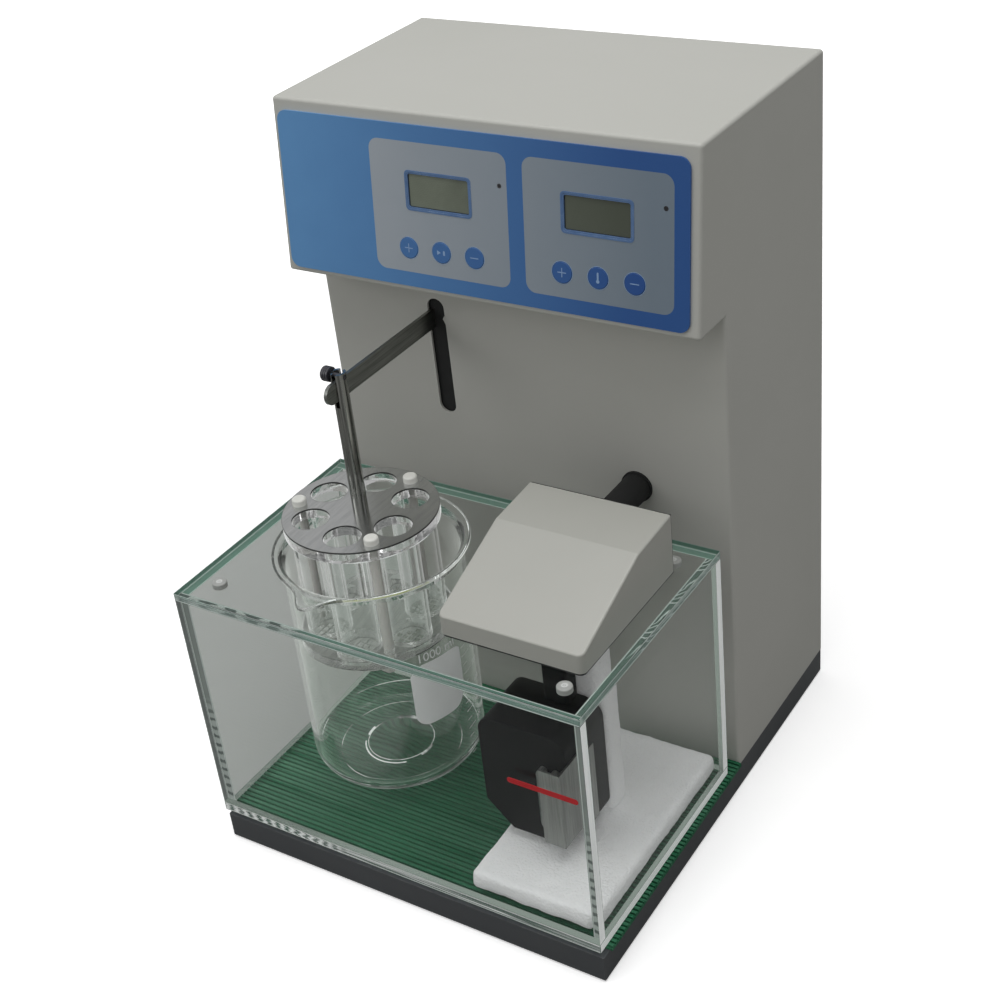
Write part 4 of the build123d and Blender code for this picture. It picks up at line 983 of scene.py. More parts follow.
LID_JOINT = GlueJoint("lid_glue_joint", tone(66, 108, 94), tone(190, 198, 195), tone(56, 70, 66),
                      tone(196, 210, 205), fill_alpha=0.8, gap_alpha=0.35, line_alpha=0.7, step_rate=60.0,
                      mark_share=0.3, sway=1.6, until=0.085)
TEAL_JOINT = GlueJoint("teal_glue_joint", tone(78, 122, 106), tone(78, 122, 106), tone(78, 122, 106),
                       tone(178, 204, 195), fill_alpha=0.75, line_alpha=0.75, until=-1.0)
SIDE_JOINT = GlueJoint("crackled_glue_joint", tone(50, 84, 72), tone(52, 80, 70), tone(196, 206, 202),
                       tone(206, 216, 212), fill_alpha=0.75, gap_alpha=0.75, step_rate=120.0, mark_share=0.12,
                       sway=0.8, since=0.055, until=0.3, lean=2.4)
GLINT = Glint("glass_glint", tone(240, 244, 242))
RIM_GLINT = Glint("rim_glint", tone(196, 206, 140), glow=0.12, alpha=0.75)
RIM_SHADE = Glint("rim_shade", tone(84, 90, 86), glow=0.0, alpha=0.85)
KNOB = Coating("frosted_knob", tone(206, 208, 204), tone(188, 190, 187), roughness=0.35, grain_scale=900.0,
               grain_depth=0.00002, edge_color=tone(236, 237, 234), edge_amount=0.5, drift_scale=60.0,
               see_through=0.35)
WHITE_INK = Coating("white_enamel_print", tone(236, 238, 236), tone(222, 224, 222), roughness=0.45,
                    drift_scale=160.0, edge_amount=0.0)
# The print's small glow is painted light that keeps it bright on the glass.
GLASS_PRINT = Coating("white_glass_print", tone(238, 240, 239), tone(224, 227, 226), roughness=0.5,
                      drift_scale=60.0, edge_amount=0.0, glow=0.1)
PANEL_INK = Coating("pale_key_print", tone(150, 180, 216), tone(138, 168, 208), roughness=0.4,
                    drift_scale=200.0, edge_amount=0.0)
DARK_SHADOW = Coating("display_well_shadow", tone(38, 44, 50), tone(30, 34, 40), roughness=0.6, drift_scale=200.0,
                      edge_amount=0.0)
# Its pale lines along the frame's edges are painted highlights.
FRAME_BLUE = Coating("display_frame_blue", tone(92, 124, 168), tone(74, 104, 150), roughness=0.34,
                     drift_scale=60.0, edge_color=tone(158, 180, 208), edge_radius=0.0004, edge_amount=0.8)
DISPLAY = DisplayPane("display_pane", tone(134, 142, 126), tone(80, 86, 74), -0.05, 0.085)
MAT_GREEN = Ribbed("ribbed_green_rubber", tone(34, 112, 76), tone(18, 82, 55), tone(118, 172, 142))
PUMP_SHELL = Coating("pump_moulding", tone(21, 23, 24), tone(28, 30, 32), roughness=0.55, grain_scale=500.0,
                     grain_depth=0.000008, edge_color=tone(44, 46, 47), edge_amount=0.2, specular=0.15)
PUMP_STEEL = Metal("dull_pump_steel", tone(164, 166, 164), tone(120, 122, 120), roughness=0.4)
FOAM = FoamStuff("white_foam", tone(250, 250, 250), tone(236, 238, 239))

NODE_FINISHES: dict[str, Finish] = {
    "base_tray": BLACK_BASE, "rubber_feet": BLACK_RUBBER, "ribbed_mat": MAT_GREEN,
    "housing_shell": HOUSING, "rear_cover": HOUSING, "cover_screws": ZINC,
    "panel_overlay": PANEL_BLUE, "panel_fields": PANEL_GREY, "display_windows": KEY_BLUE,
    "indicator_lamps": LAMP_DARK, "display_modules": BLACK_PLASTIC, "control_boards": CIRCUIT,
    "timer_key_plus": KEY_BLUE, "timer_key_run": KEY_BLUE, "timer_key_minus": KEY_BLUE,
    "bath_key_plus": KEY_BLUE, "bath_key_heat": KEY_BLUE, "bath_key_minus": KEY_BLUE,
    "power_inlet": BLACK_PLASTIC, "fuse_drawer": BLACK_PLASTIC, "switch_rocker": BLACK_PLASTIC,
    "switch_frame": BLACK_PLASTIC, "power_supply": CIRCUIT, "slot_shield": BLACK_RUBBER,
    "lifting_arm": BAR_STEEL, "carriage": NYLON, "guide_bushes": BRASS, "guide_rods": SHAFT_STEEL,
    "rod_blocks": ZINC, "drive_frame": ZINC, "gear_motor": MOTOR_PAINT, "crank_disc": ZINC,
    "crank_roller": BRASS, "basket_shaft": SHAFT_STEEL, "hanger_screw": KNURLED, "steel_disc": DISC_STEEL,
    "clear_discs": RACK_SHEET, "glass_tubes": TUBE_GLASS, "wire_screen": SCREEN_WIRE, "nylon_bolts": NYLON,
    "nylon_nuts": NYLON, "beaker": LAB_GLASS, "bath_floor": BATH_SHEET, "bath_walls": BATH_SHEET,
    "bath_lid": BATH_SHEET, "lid_knobs": KNOB, "level_mark": RED_PRINT, "foam_pad": FOAM,
    "foam_block": FOAM, "hood_cover": HOOD, "hood_tray": BLACK_PLASTIC, "conduit_tube": BLACK_RUBBER,
    "pump_body": PUMP_SHELL, "pump_impeller": NYLON, "pump_stem": PUMP_SHELL, "heater_guard": GUARD_STEEL,
    "heater_element": PUMP_STEEL, "temperature_probe": STAINLESS,
}


class Shape:
    """A mesh being built, made into one object at the origin at the end."""

    def __init__(self) -> None:
        """Start an empty mesh."""
        self.mesh = bmesh.new()

    def ribbon(self, corner: Point, along: Point, across: Point, slot: int = 0) -> None:
        """Add a flat strip, with metres along it and 0 to 1 across it as its texture coordinates.

        Args:
            corner: where it starts.
            along: the way along it, with its length.
            across: the way across it, with its width; along x across points out of its front.
            slot: the material slot.
        """
        start, run, side = Vector(corner), Vector(along), Vector(across)
        layer = self.mesh.loops.layers.uv.verify()
        verts = bmesh.ops.create_grid(self.mesh, x_segments=1, y_segments=1, size=0.5)["verts"]
        face = verts[0].link_faces[0]
        face.material_index = slot
        for loop in face.loops:
            x, y = loop.vert.co.x + 0.5, loop.vert.co.y + 0.5
            loop[layer].uv = (x * run.length, y)
            loop.vert.co = start + run * x + side * y

    def grid(self, columns: int, rows: int, place: Move) -> None:
        """Add a sheet.

        Args:
            columns: its faces along X.
            rows: its faces along Y.
            place: moves a point of a flat sheet, from -0.5 to 0.5 both ways, to where it goes.
        """
        made = bmesh.ops.create_grid(self.mesh, x_segments=columns, y_segments=rows, size=0.5)
        for vert in made["verts"]:
            vert.co = place(vert.co)

    def loop(self, outline: Outline) -> tuple[list[bmesh.types.BMVert], list[bmesh.types.BMEdge]]:
        """Add the points and the edges of a closed outline."""
        verts = [self.mesh.verts.new((x, y, 0.0)) for x, y in outline]
        return verts, [self.mesh.edges.new(pair) for pair in zip(verts, verts[1:] + verts[:1])]

    def plate(self, base: list[bmesh.types.BMVert], faces: list[bmesh.types.BMFace], thickness: float,
              place: Matrix) -> None:
        """Raise flat faces into a plate.

        Args:
            base: the faces' points.
            faces: the faces.
            thickness: how far it rises along its own Z.
            place: where it goes.
        """
        risen = bmesh.ops.extrude_face_region(self.mesh, geom=faces)["geom"]
        top = [item for item in risen if isinstance(item, bmesh.types.BMVert)]
        bmesh.ops.translate(self.mesh, verts=top, vec=(0.0, 0.0, thickness))
        bmesh.ops.transform(self.mesh, matrix=place, verts=base + top)

    def slab(self, outline: Outline, thickness: float, place: Matrix) -> None:
        """Add a flat plate over a closed outline.

        Args:
            outline: its corners, anticlockwise.
            thickness: how far it rises along its own Z.
            place: where it goes.
        """
        verts, edges = self.loop(outline)
        self.plate(verts, bmesh.ops.contextual_create(self.mesh, geom=edges)["faces"], thickness, place)

    def frame(self, outer: Outline, inner: Outline, thickness: float, place: Matrix) -> None:
        """Add a flat frame between two outlines that have the same number of corners.

        Args:
            outer: the outer outline.
            inner: the inner outline.
            thickness: how far it rises along its own Z.
            place: where it goes.
        """
        verts, edges = self.loop(outer)
        more_verts, more_edges = self.loop(inner)
        faces = bmesh.ops.bridge_loops(self.mesh, edges=edges + more_edges)["faces"]
        self.plate(verts + more_verts, faces, thickness, place)

    def lathe(self, profile: Outline, steps: int, place: Matrix, slot: int = 0) -> None:
        """Add a turned form.

        Args:
            profile: its section, given as radius and height.
            steps: how many steps it is turned in.
            place: where it goes.
            slot: the material slot.
        """
        path = [self.mesh.verts.new((radius, 0.0, height)) for radius, height in profile]
        edges = [self.mesh.edges.new(pair) for pair in zip(path, path[1:])]
        before = set(self.mesh.faces)
        bmesh.ops.spin(self.mesh, geom=path + edges, cent=(0, 0, 0), axis=(0, 0, 1), angle=2 * math.pi,
                       steps=steps, use_merge=True)
        verts = {vert for face in set(self.mesh.faces) - before for vert in face.verts}
        bmesh.ops.remove_doubles(self.mesh, verts=list(verts), dist=1e-7)
        faces = set(self.mesh.faces) - before
        for face in faces:
            face.material_index = slot
        verts = {vert for face in faces for vert in face.verts}
        bmesh.ops.transform(self.mesh, matrix=place, verts=list(verts))

    def band(self, outer: float, inner: float, thickness: float, steps: int, place: Matrix, slot: int = 0
             ) -> None:
        """Add a ring.

        Args:
            outer: its outer radius.
            inner: its inner radius.
            thickness: how far it rises along its own Z.
            steps: how many steps it is turned in.
            place: where it goes.
            slot: the material slot.
        """
        section = ((outer, 0.0), (outer, thickness), (inner, thickness), (inner, 0.0), (outer, 0.0))
        self.lathe(section, steps, place, slot)

    def merge(self, other: bpy.types.Mesh, place: Move) -> None:
        """Add a flat mesh.

        Args:
            other: the mesh.
            place: moves a point of it to where it goes.
        """
        before = set(self.mesh.verts)
        self.mesh.from_mesh(other)
        for vert in set(self.mesh.verts) - before:
            vert.co = place(vert.co)

    def build(self, name: str, finishes: Sequence[Finish], smooth: float = 40.0, outward: bool = True,
              body: str = "root", slot: str | None = None) -> bpy.types.Object:
        """Make the object.

        Args:
            name: the object's name.
            finishes: one finish for each material slot.
            smooth: edges sharper than this, in degrees, stay sharp.
            outward: whether to turn all faces outward.
            body: the CAD body that it moves with.
            slot: a material slot name of the record; not used.

        Returns:
            The object.
        """
        if outward:
            bmesh.ops.recalc_face_normals(self.mesh, faces=self.mesh.faces)
        data = bpy.data.meshes.new(name)
        self.mesh.to_mesh(data)
        self.mesh.free()
        for finish in finishes:
            data.materials.append(finish.material())
        data.shade_smooth()
        data.set_sharp_from_angle(angle=math.radians(smooth))
        made = bpy.data.objects.new(name, data)
        bpy.context.scene.collection.objects.link(made)
        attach(made, body)
        LOG.info("built %s with %d faces", name, len(data.polygons))
        return made


def rounded_outline(width: float, height: float, corner: float, steps: int = 6) -> list[Pair]:
    """Work out a rectangle with round corners.

    Args:
        width: its size along X.
        height: its size along Y.
        corner: the corners' radius.
        steps: how many steps a corner has.

    Returns:
        Its outline, centred and anticlockwise.
    """
    points = []
    for quarter, (side, rise) in enumerate(((1, 1), (-1, 1), (-1, -1), (1, -1))):
        for step in range(steps + 1):
            angle = math.pi / 2 * (quarter + step / steps)
            points.append((side * (width / 2 - corner) + corner * math.cos(angle),
                           rise * (height / 2 - corner) + corner * math.sin(angle)))
    return points


def circle_outline(radius: float, steps: int) -> list[Pair]:
    """Return a circle's outline, anticlockwise."""
    return [(radius * math.cos(2 * math.pi * step / steps), radius * math.sin(2 * math.pi * step / steps))
            for step in range(steps)]


def lettering(text: str, size: float) -> bpy.types.Mesh:
    """Make plain characters.

    Args:
        text: the characters.
        size: their size.

    Returns:
        A flat mesh of them, centred.
    """
    curve = bpy.data.curves.new("lettering", "FONT")
    curve.body = text
    curve.size = size
    curve.align_x = "CENTER"
    curve.align_y = "CENTER"
    curve.resolution_u = 4
    holder = bpy.data.objects.new("lettering", curve)
    bpy.context.scene.collection.objects.link(holder)
    bpy.context.view_layer.update()
    mesh = bpy.data.meshes.new_from_object(holder.evaluated_get(bpy.context.evaluated_depsgraph_get()))
    bpy.data.objects.remove(holder)
    return mesh


class EdgeSlot(IntEnum):
    """Material slots of the bath's cut edges."""

    SHEET = 0
    FLOOR = 1
    BRIGHT = 2
    WALL_END = 3


class JointSlot(IntEnum):
    """Material slots of the bath's glued joints."""

    WALL = 0
    FLOOR = 1
    LID = 2
    SIDE = 3
    TEAL = 4


@dataclass
class Bath:
    """The clear bath: light along its cut edges and its glued joints, and bevels on its sheets."""

    left: float = -0.1326
    right: float = 0.1294
    front: float = -0.1518
    back: float = 0.0075
    bottom: float = 0.021
    floor_top: float = 0.027
    lid_bottom: float = 0.178
    lid_top: float = 0.183
    wall: float = 0.006
    sunk: float = 0.00005
    bevel: float = 0.0003
    bevel_angle: float = 40.0

    def build(self, frame: dict) -> None:
        """Add the edge strips and round the sheets' edges.
        """
        self.edges()
        self.joints()
        for name in ("bath_floor", "bath_walls", "bath_lid"):
            rounding = frame["nodes"][name].modifiers.new("soft_edges", "BEVEL")
            rounding.width = self.bevel
            rounding.segments = 2
            rounding.limit_method = "ANGLE"
            rounding.angle_limit = math.radians(self.bevel_angle)

    def edges(self) -> None:
        """Strips just inside the sawn edges of the floor, the lid and the front and back walls."""
        shape = Shape()
        rim = self.bevel
        wide = self.right - self.left - 2 * rim
        deep = self.back - self.front - 2 * rim
        # Right-facing edges, of the floor here and of the walls below, take BRIGHT: painted light.
        for low, high, front, side in (
                (self.bottom, self.floor_top, EdgeSlot.FLOOR, EdgeSlot.BRIGHT),
                (self.lid_bottom, self.lid_top, EdgeSlot.SHEET, EdgeSlot.SHEET)):
            tall = (0.0, 0.0, high - low - 2 * rim)
            base = low + rim
            shape.ribbon((self.left + rim, self.front + self.sunk, base), (wide, 0, 0), tall, front)
            shape.ribbon((self.right - self.sunk, self.front + rim, base), (0, deep, 0), tall, side)
            shape.ribbon((self.right - rim, self.back - self.sunk, base), (-wide, 0, 0), tall, EdgeSlot.SHEET)
            shape.ribbon((self.left + self.sunk, self.back - rim, base), (0, -deep, 0), tall, EdgeSlot.SHEET)
        up = (0.0, 0.0, self.lid_bottom - self.floor_top - 2 * rim)
        across = self.wall - 2 * rim
        base = self.floor_top + rim
        for start in (self.front, self.back - self.wall):
            shape.ribbon((self.right - self.sunk, start + rim + across, base), up, (0, -across, 0),
                         EdgeSlot.BRIGHT)
            shape.ribbon((self.left + self.sunk, start + rim, base), up, (0, across, 0), EdgeSlot.WALL_END)
        shape.build("bath_cut_edges", [SHEET_EDGE, FLOOR_EDGE, BRIGHT_EDGE, WALL_END], outward=False,
                    slot="clear_sheet")

    def joints(self) -> None:
        """Strips in the glued joints between the sheets."""
        shape = Shape()
        rim = self.bevel
        across = self.wall - 2 * rim
        wide = self.right - self.left - 2 * rim
        deep = self.back - self.front - 2 * self.wall
        up = (0.0, 0.0, self.lid_bottom - self.floor_top - 2 * rim)
        far = self.back - self.wall
        last = self.right - self.wall
        for place in (self.front + self.wall - self.sunk, far + self.sunk):
            for start in (self.left, last):
                shape.ribbon((start + rim, place, self.floor_top + rim), up, (across, 0, 0), JointSlot.WALL)
        under, over = self.floor_top - self.sunk, self.lid_bottom + self.sunk
        for height, start, slot in ((under, self.front, JointSlot.FLOOR), (under, far, JointSlot.FLOOR),
                                    (over, self.front, JointSlot.LID), (over, far, JointSlot.TEAL)):
            shape.ribbon((self.left + rim, start + rim, height), (wide, 0, 0), (0, across, 0), slot)
        for height, start, slot in ((under, self.left, JointSlot.FLOOR), (under, last, JointSlot.FLOOR),
                                    (over, self.left, JointSlot.TEAL), (over, last, JointSlot.SIDE)):
            shape.ribbon((start + rim + across, self.front + self.wall, height), (0, deep, 0),
                         (-across, 0, 0), slot)
        shape.build("bath_glue_joints", [WALL_JOINT, FLOOR_JOINT, LID_JOINT, SIDE_JOINT, TEAL_JOINT],
                    outward=False, slot="clear_sheet")


class GlintSlot(IntEnum):
    """Material slots of the lines in the beaker's glass and at the clear discs' corners."""

    LIGHT = 0
    SHADE = 1
    RIM = 2


@dataclass
class Beaker:
    """The glass beaker with its rolled rim, pouring spout and white print."""

    x: float = -0.0555
    y: float = -0.0665
    radius: float = 0.0525
    wall: float = 0.0022
    bottom: float = 0.038
    floor_top: float = 0.041
    corner: float = 0.015
    bend_steps: int = 8
    foot: Outline = ((0.0, 0.0394), (0.008, 0.0394), (0.015, 0.0390), (0.021, 0.0383), (0.028, 0.038))
    wall_heights: Sequence[float] = (0.09, 0.14, 0.172)
    # Past the wall's outer and inner face: how far out, and the height.
    outer_neck: Outline = ((0.0002, 0.1785), (0.0007, 0.1810), (0.0015, 0.1829), (0.0018, 0.1833),
                           (0.0021, 0.1838), (0.0025, 0.1843))
    inner_neck: Outline = ((0.0033, 0.1847), (0.0025, 0.1839), (0.0020, 0.1834), (0.0018, 0.1831),
                           (0.0008, 0.1811), (0.0002, 0.1785))
    inner_foot: Outline = ((0.028, 0.041), (0.0225, 0.0411), (0.020, 0.0417), (0.0165, 0.0427),
                           (0.010, 0.0432), (0.0, 0.0433))
    rim_radius: float = 0.0577
    rim_top: float = 0.1867
    bead: float = 0.0012
    bead_turn: Pair = (-60.0, 200.0)
    spout_start: float = 0.1832
    spout_reach: float = 0.0128
    spout_width: float = 0.145
    spout_flare: float = 0.42
    spout_flare_share: float = 0.14
    spout_drop: float = 0.0009
    spout_angle: float = -88.5
    spout_rise: float = 0.0011
    steps: int = 192
    print_lift: float = 0.00008
    hoop_sides: int = 6
    hoop_step: float = 1.5
    # Radius, height, half thickness, and first and last angle.
    light_rings: Sequence[Arc] = (
        (0.0205, 0.0418, 0.0002, -180.0, 180.0), (0.0196, 0.0424, 0.0011, 70.0, 128.0),
        (0.0222, 0.0408, 0.0005, -150.0, -48.0), (0.0214, 0.0418, 0.0007, -20.0, 6.0),
        (0.0214, 0.0418, 0.0007, 176.0, 196.0), (0.0375, 0.0395, 0.0002, -180.0, 180.0),
        (0.0505, 0.0475, 0.00025, -180.0, 180.0))
    # The same, with radius and height as beads in from the rim and beads down from its top.
    rim_lights: Sequence[tuple[GlintSlot, Arc]] = (
        (GlintSlot.LIGHT, (1.0, 0.8, 0.00016, -62.0, 90.0)),
        (GlintSlot.RIM, (1.2, 1.3, 0.00028, -80.0, -20.0)),
        (GlintSlot.SHADE, (0.6, 1.2, 0.0006, -178.0, -70.0)),
        (GlintSlot.LIGHT, (1.3, 0.6, 0.00035, -112.0, -74.0)))
    patch_angles: Pair = (-38.0, 0.0)
    patch_heights: Pair = (0.088, 0.1285)
    patch_corner: float = 0.009
    patch_columns: int = 28
    patch_upper_share: float = 0.5
    number_angle: float = -19.0
    number_height: float = 0.1325
    number_size: float = 0.0084
    scale_angle: float = 10.0
    scale_step: float = 0.0126
    scale_count: int = 8
    scale_unit: int = 100
    mark_length: float = 0.0084
    mark_width: float = 0.00044
    mark_turn: float = -4.0
    half_mark_share: float = 0.55
    half_mark_turn: float = -6.0
    digit_turn: float = 7.0
    digit_size: float = 0.0046
    stroke_pieces: int = 6

    def build(self) -> None:
        """Make the glass and its print."""
        self.glass()
        self.glints()
        self.marks()

    def bend(self, middle: Pair, radius: float, first: float, turn: float) -> list[Pair]:
        """Work out the points of a bend in the section.

        Args:
            middle: its middle, as radius and height.
            radius: its own radius.
            first: the angle that it starts at.
            turn: how far it turns.

        Returns:
            Its points.
        """
        count = self.bend_steps
        angles = [math.radians(first + turn * step / count) for step in range(count + 1)]
        return [(middle[0] + radius * math.cos(angle), middle[1] + radius * math.sin(angle))
                for angle in angles]

    def profile(self) -> list[Pair]:
        """Work out the glass's section.

        Returns:
            Its points from the middle of its foot out, up, over and back down inside.
        """
        inner = self.radius - self.wall
        small = self.corner - self.wall
        outer_corner = (self.radius - self.corner, self.bottom + self.corner)
        inner_corner = (inner - small, self.floor_top + small)
        bead_middle = (self.rim_radius - self.bead, self.rim_top - self.bead)
        return [*self.foot, *self.bend(outer_corner, self.corner, -90.0, 90.0),
                *((self.radius, height) for height in self.wall_heights),
                *((self.radius + out, height) for out, height in self.outer_neck),
                *self.bend(bead_middle, self.bead, *self.bead_turn),
                *((inner + out, height) for out, height in self.inner_neck),
                *((inner, height) for height in reversed(self.wall_heights)),
                *self.bend(inner_corner, small, 0.0, -90.0), *self.inner_foot]

    def glass(self) -> None:
        """Turn the glass and pull its spout out over the lid."""
        shape = Shape()
        shape.lathe(self.profile(), self.steps, Matrix.Identity(4))
        for vert in shape.mesh.verts:
            vert.co = self.pulled(vert.co)
        made = shape.build("beaker_glass", [LAB_GLASS], smooth=60.0, slot="clear_glass")
        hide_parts("beaker")

    def pulled(self, point: Vector) -> Vector:
        """Move a point of the turned glass to the beaker's place.

        Args:
            point: the point, with the beaker's axis at the origin.

        Returns:
            Where it is, with the spout's pull on it.
        """
        place = Vector((self.x, self.y, 0.0))
        if point.z <= self.spout_start:
            return point + place
        rise = min((point.z - self.spout_start) / self.spout_rise, 1.0)
        turn = math.atan2(point.y, point.x) - math.radians(self.spout_angle)
        turn = (turn + math.pi) % (2 * math.pi) - math.pi
        pull = ((1 - self.spout_flare_share) * math.exp(-(turn / self.spout_width) ** 2)
                + self.spout_flare_share * math.exp(-(turn / self.spout_flare) ** 2)) * rise
        share = 1 + self.spout_reach * pull / math.hypot(point.x, point.y)
        return Vector((point.x * share, point.y * share, point.z - self.spout_drop * pull)) + place

    def glints(self) -> None:
        """Fine rings where the thick glass of the foot, the base and the rim catches the light."""
        shape = Shape()
        for arc in self.light_rings:
            self.hoop(shape, arc, GlintSlot.LIGHT)
        for slot, (inward, down, *rest) in self.rim_lights:
            place = (self.rim_radius - self.bead * inward, self.rim_top - self.bead * down)
            self.hoop(shape, (*place, *rest), slot)
        shape.build("beaker_glints", [GLINT, RIM_SHADE, RIM_GLINT], smooth=80.0, slot="clear_glass")

    def hoop(self, shape: Shape, arc: Arc, slot: GlintSlot) -> None:
        """Add a thin round ring, or part of one, that follows the spout's pull.

        Args:
            shape: what it goes into.
            arc: its radius, height, half thickness, and first and last angle.
            slot: its material slot.
        """
        radius, height, thick, first, last = arc
        before = set(shape.mesh.faces)
        upright = Matrix.Rotation(math.radians(90.0), 4, "X") @ Matrix.Rotation(math.radians(90.0), 4, "Z")
        start = Matrix.Rotation(math.radians(first), 4, "Z") @ Matrix.Translation((radius, 0.0, height))
        verts = bmesh.ops.create_circle(shape.mesh, segments=self.hoop_sides, radius=thick,
                                        matrix=start @ upright)["verts"]
        edges = list({edge for vert in verts for edge in vert.link_edges})
        bmesh.ops.spin(shape.mesh, geom=verts + edges, cent=(0, 0, 0), axis=(0, 0, 1),
                       angle=math.radians(last - first), steps=round((last - first) / self.hoop_step),
                       use_merge=last - first >= 360.0)
        faces = set(shape.mesh.faces) - before
        for vert in {vert for face in faces for vert in face.verts}:
            vert.co = self.pulled(vert.co)
        for face in faces:
            face.material_index = slot

    def around(self, degrees: float, height: float) -> Vector:
        """Return a point just outside the wall."""
        reach = self.radius + self.print_lift
        angle = math.radians(degrees)
        return Vector((self.x + reach * math.cos(angle), self.y + reach * math.sin(angle), height))

    def wrap(self, degrees: float, height: float, size: Pair = (1.0, 1.0)) -> Move:
        """Say how flat points go round the wall.

        Args:
            degrees: the angle of their middle.
            height: the height of their middle.
            size: how far they are scaled.

        Returns:
            What moves one point.
        """
        def place(point: Vector) -> Vector:
            """Move one point."""
            return self.around(degrees + math.degrees(point.x * size[0] / self.radius),
                               height + point.y * size[1])
        return place

    def patch(self, point: Vector) -> Vector:
        """Lay a point of the flat sheet on the blank patch, which has round corners.

        Args:
            point: the point, from -0.5 to 0.5 both ways.

        Returns:
            Its place on the wall.
        """
        first, last = self.patch_angles
        low, high = self.patch_heights
        width = math.radians(last - first) * self.radius
        along = width * (0.5 - 0.5 * math.cos(math.pi * (point.x + 0.5)))
        cut = max(self.patch_corner - min(along, width - along), 0.0)
        sink = self.patch_corner - math.sqrt(self.patch_corner ** 2 - min(cut, self.patch_corner) ** 2)
        angle = first + math.degrees(along / self.radius)
        return self.around(angle, low + sink if point.y < 0 else high - sink * self.patch_upper_share)

    def marks(self) -> None:
        """Print a blank patch, the capacity as a plain number, and a scale with numbers."""
        shape = Shape()
        shape.grid(self.patch_columns, 1, self.patch)
        shape.merge(lettering("1000 ml", self.number_size), self.wrap(self.number_angle, self.number_height))
        long_mark = (self.mark_length, self.mark_width)
        short_mark = (self.mark_length * self.half_mark_share, self.mark_width)
        for step in range(1, self.scale_count + 1):
            height = self.floor_top + step * self.scale_step
            shape.grid(self.stroke_pieces, 1, self.wrap(self.scale_angle + self.mark_turn, height, long_mark))
            shape.grid(self.stroke_pieces, 1, self.wrap(self.scale_angle + self.half_mark_turn,
                                                        height - self.scale_step / 2, short_mark))
            shape.merge(lettering(str(step * self.scale_unit), self.digit_size),
                        self.wrap(self.scale_angle + self.digit_turn, height))
        shape.build("beaker_print", [GLASS_PRINT], slot="white_nylon")


@dataclass
class FoamPiece:
    """A soft block with rounded edges and an uneven cut surface, in place of a CAD block."""

    name: str
    node: str
    rounding: float
    step: float = 0.0022
    rough: float = 0.0006
    lump_scale: float = 90.0
    pit_scale: float = 420.0
    pit_share: float = 0.5
    shrink: float = 1.4
    fullness: float = 0.8
    crease: float | None = None
    crease_depth: float = 0.0014
    crease_width: float = 0.0009
    crease_wave: float = 0.0012
    crease_scale: float = 40.0
    seed: float = 3.0

    def build(self) -> None:
        """Make a fine box, round it off and roughen it."""
        shape = Shape()
        low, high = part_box(self.node)
        middle, size = (low + high) / 2, high - low
        counts = [max(2, round(length / self.step)) for length in size]
        for axis in range(3):
            for end in (-0.5, 0.5):
                shape.grid(counts[(axis + 1) % 3], counts[(axis + 2) % 3], self.side(axis, end, middle, size))
        bmesh.ops.remove_doubles(shape.mesh, verts=shape.mesh.verts, dist=1e-6)
        for vert in shape.mesh.verts:
            vert.co = self.worn(vert.co, low, high)
        made = shape.build(self.name, [FOAM], smooth=180.0, slot="white_foam")
        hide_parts(self.node)

    def side(self, axis: int, end: float, middle: Vector, size: Vector) -> Move:
        """Say how a flat sheet becomes one side of the block.

        Args:
            axis: the axis that the side faces along.
            end: -0.5 for its low end, 0.5 for its high end.
            middle: the block's middle.
            size: the block's size.

        Returns:
            What moves one point.
        """
        def place(point: Vector) -> Vector:
            """Move one point."""
            share = (end, point.x, point.y)
            return Vector([middle[i] + size[i] * share[(i - axis) % 3] for i in range(3)])
        return place

    def worn(self, point: Vector, low: Vector, high: Vector) -> Vector:
        """Draw a surface point in to the rounded form and roughen it.

        Args:
            point: the point.
            low: the block's low corner.
            high: the block's high corner.

        Returns:
            Where it goes.
        """
        radius = self.rounding
        core = Vector([min(max(point[i], low[i] + radius), high[i] - radius) for i in range(3)])
        outward = (point - core).normalized()
        start = point + Vector((self.seed,) * 3)
        rough = relief.noise(start * self.lump_scale) * self.rough
        rough += relief.noise(start * self.pit_scale) * self.rough * self.pit_share
        if self.crease is not None and outward.y < -0.5:
            wave = relief.noise(Vector((point.x * self.crease_scale, self.seed, 0.0)))
            away = point.z - self.crease - self.crease_wave * wave
            rough -= self.crease_depth * math.exp(-(away / self.crease_width) ** 2)
        return core + outward * (radius - self.rough * self.shrink + rough)


class KeySign(Enum):
    """The signs on the keys."""

    PLUS = "plus"
    RUN = "run"
    MINUS = "minus"
    HEAT = "heat"


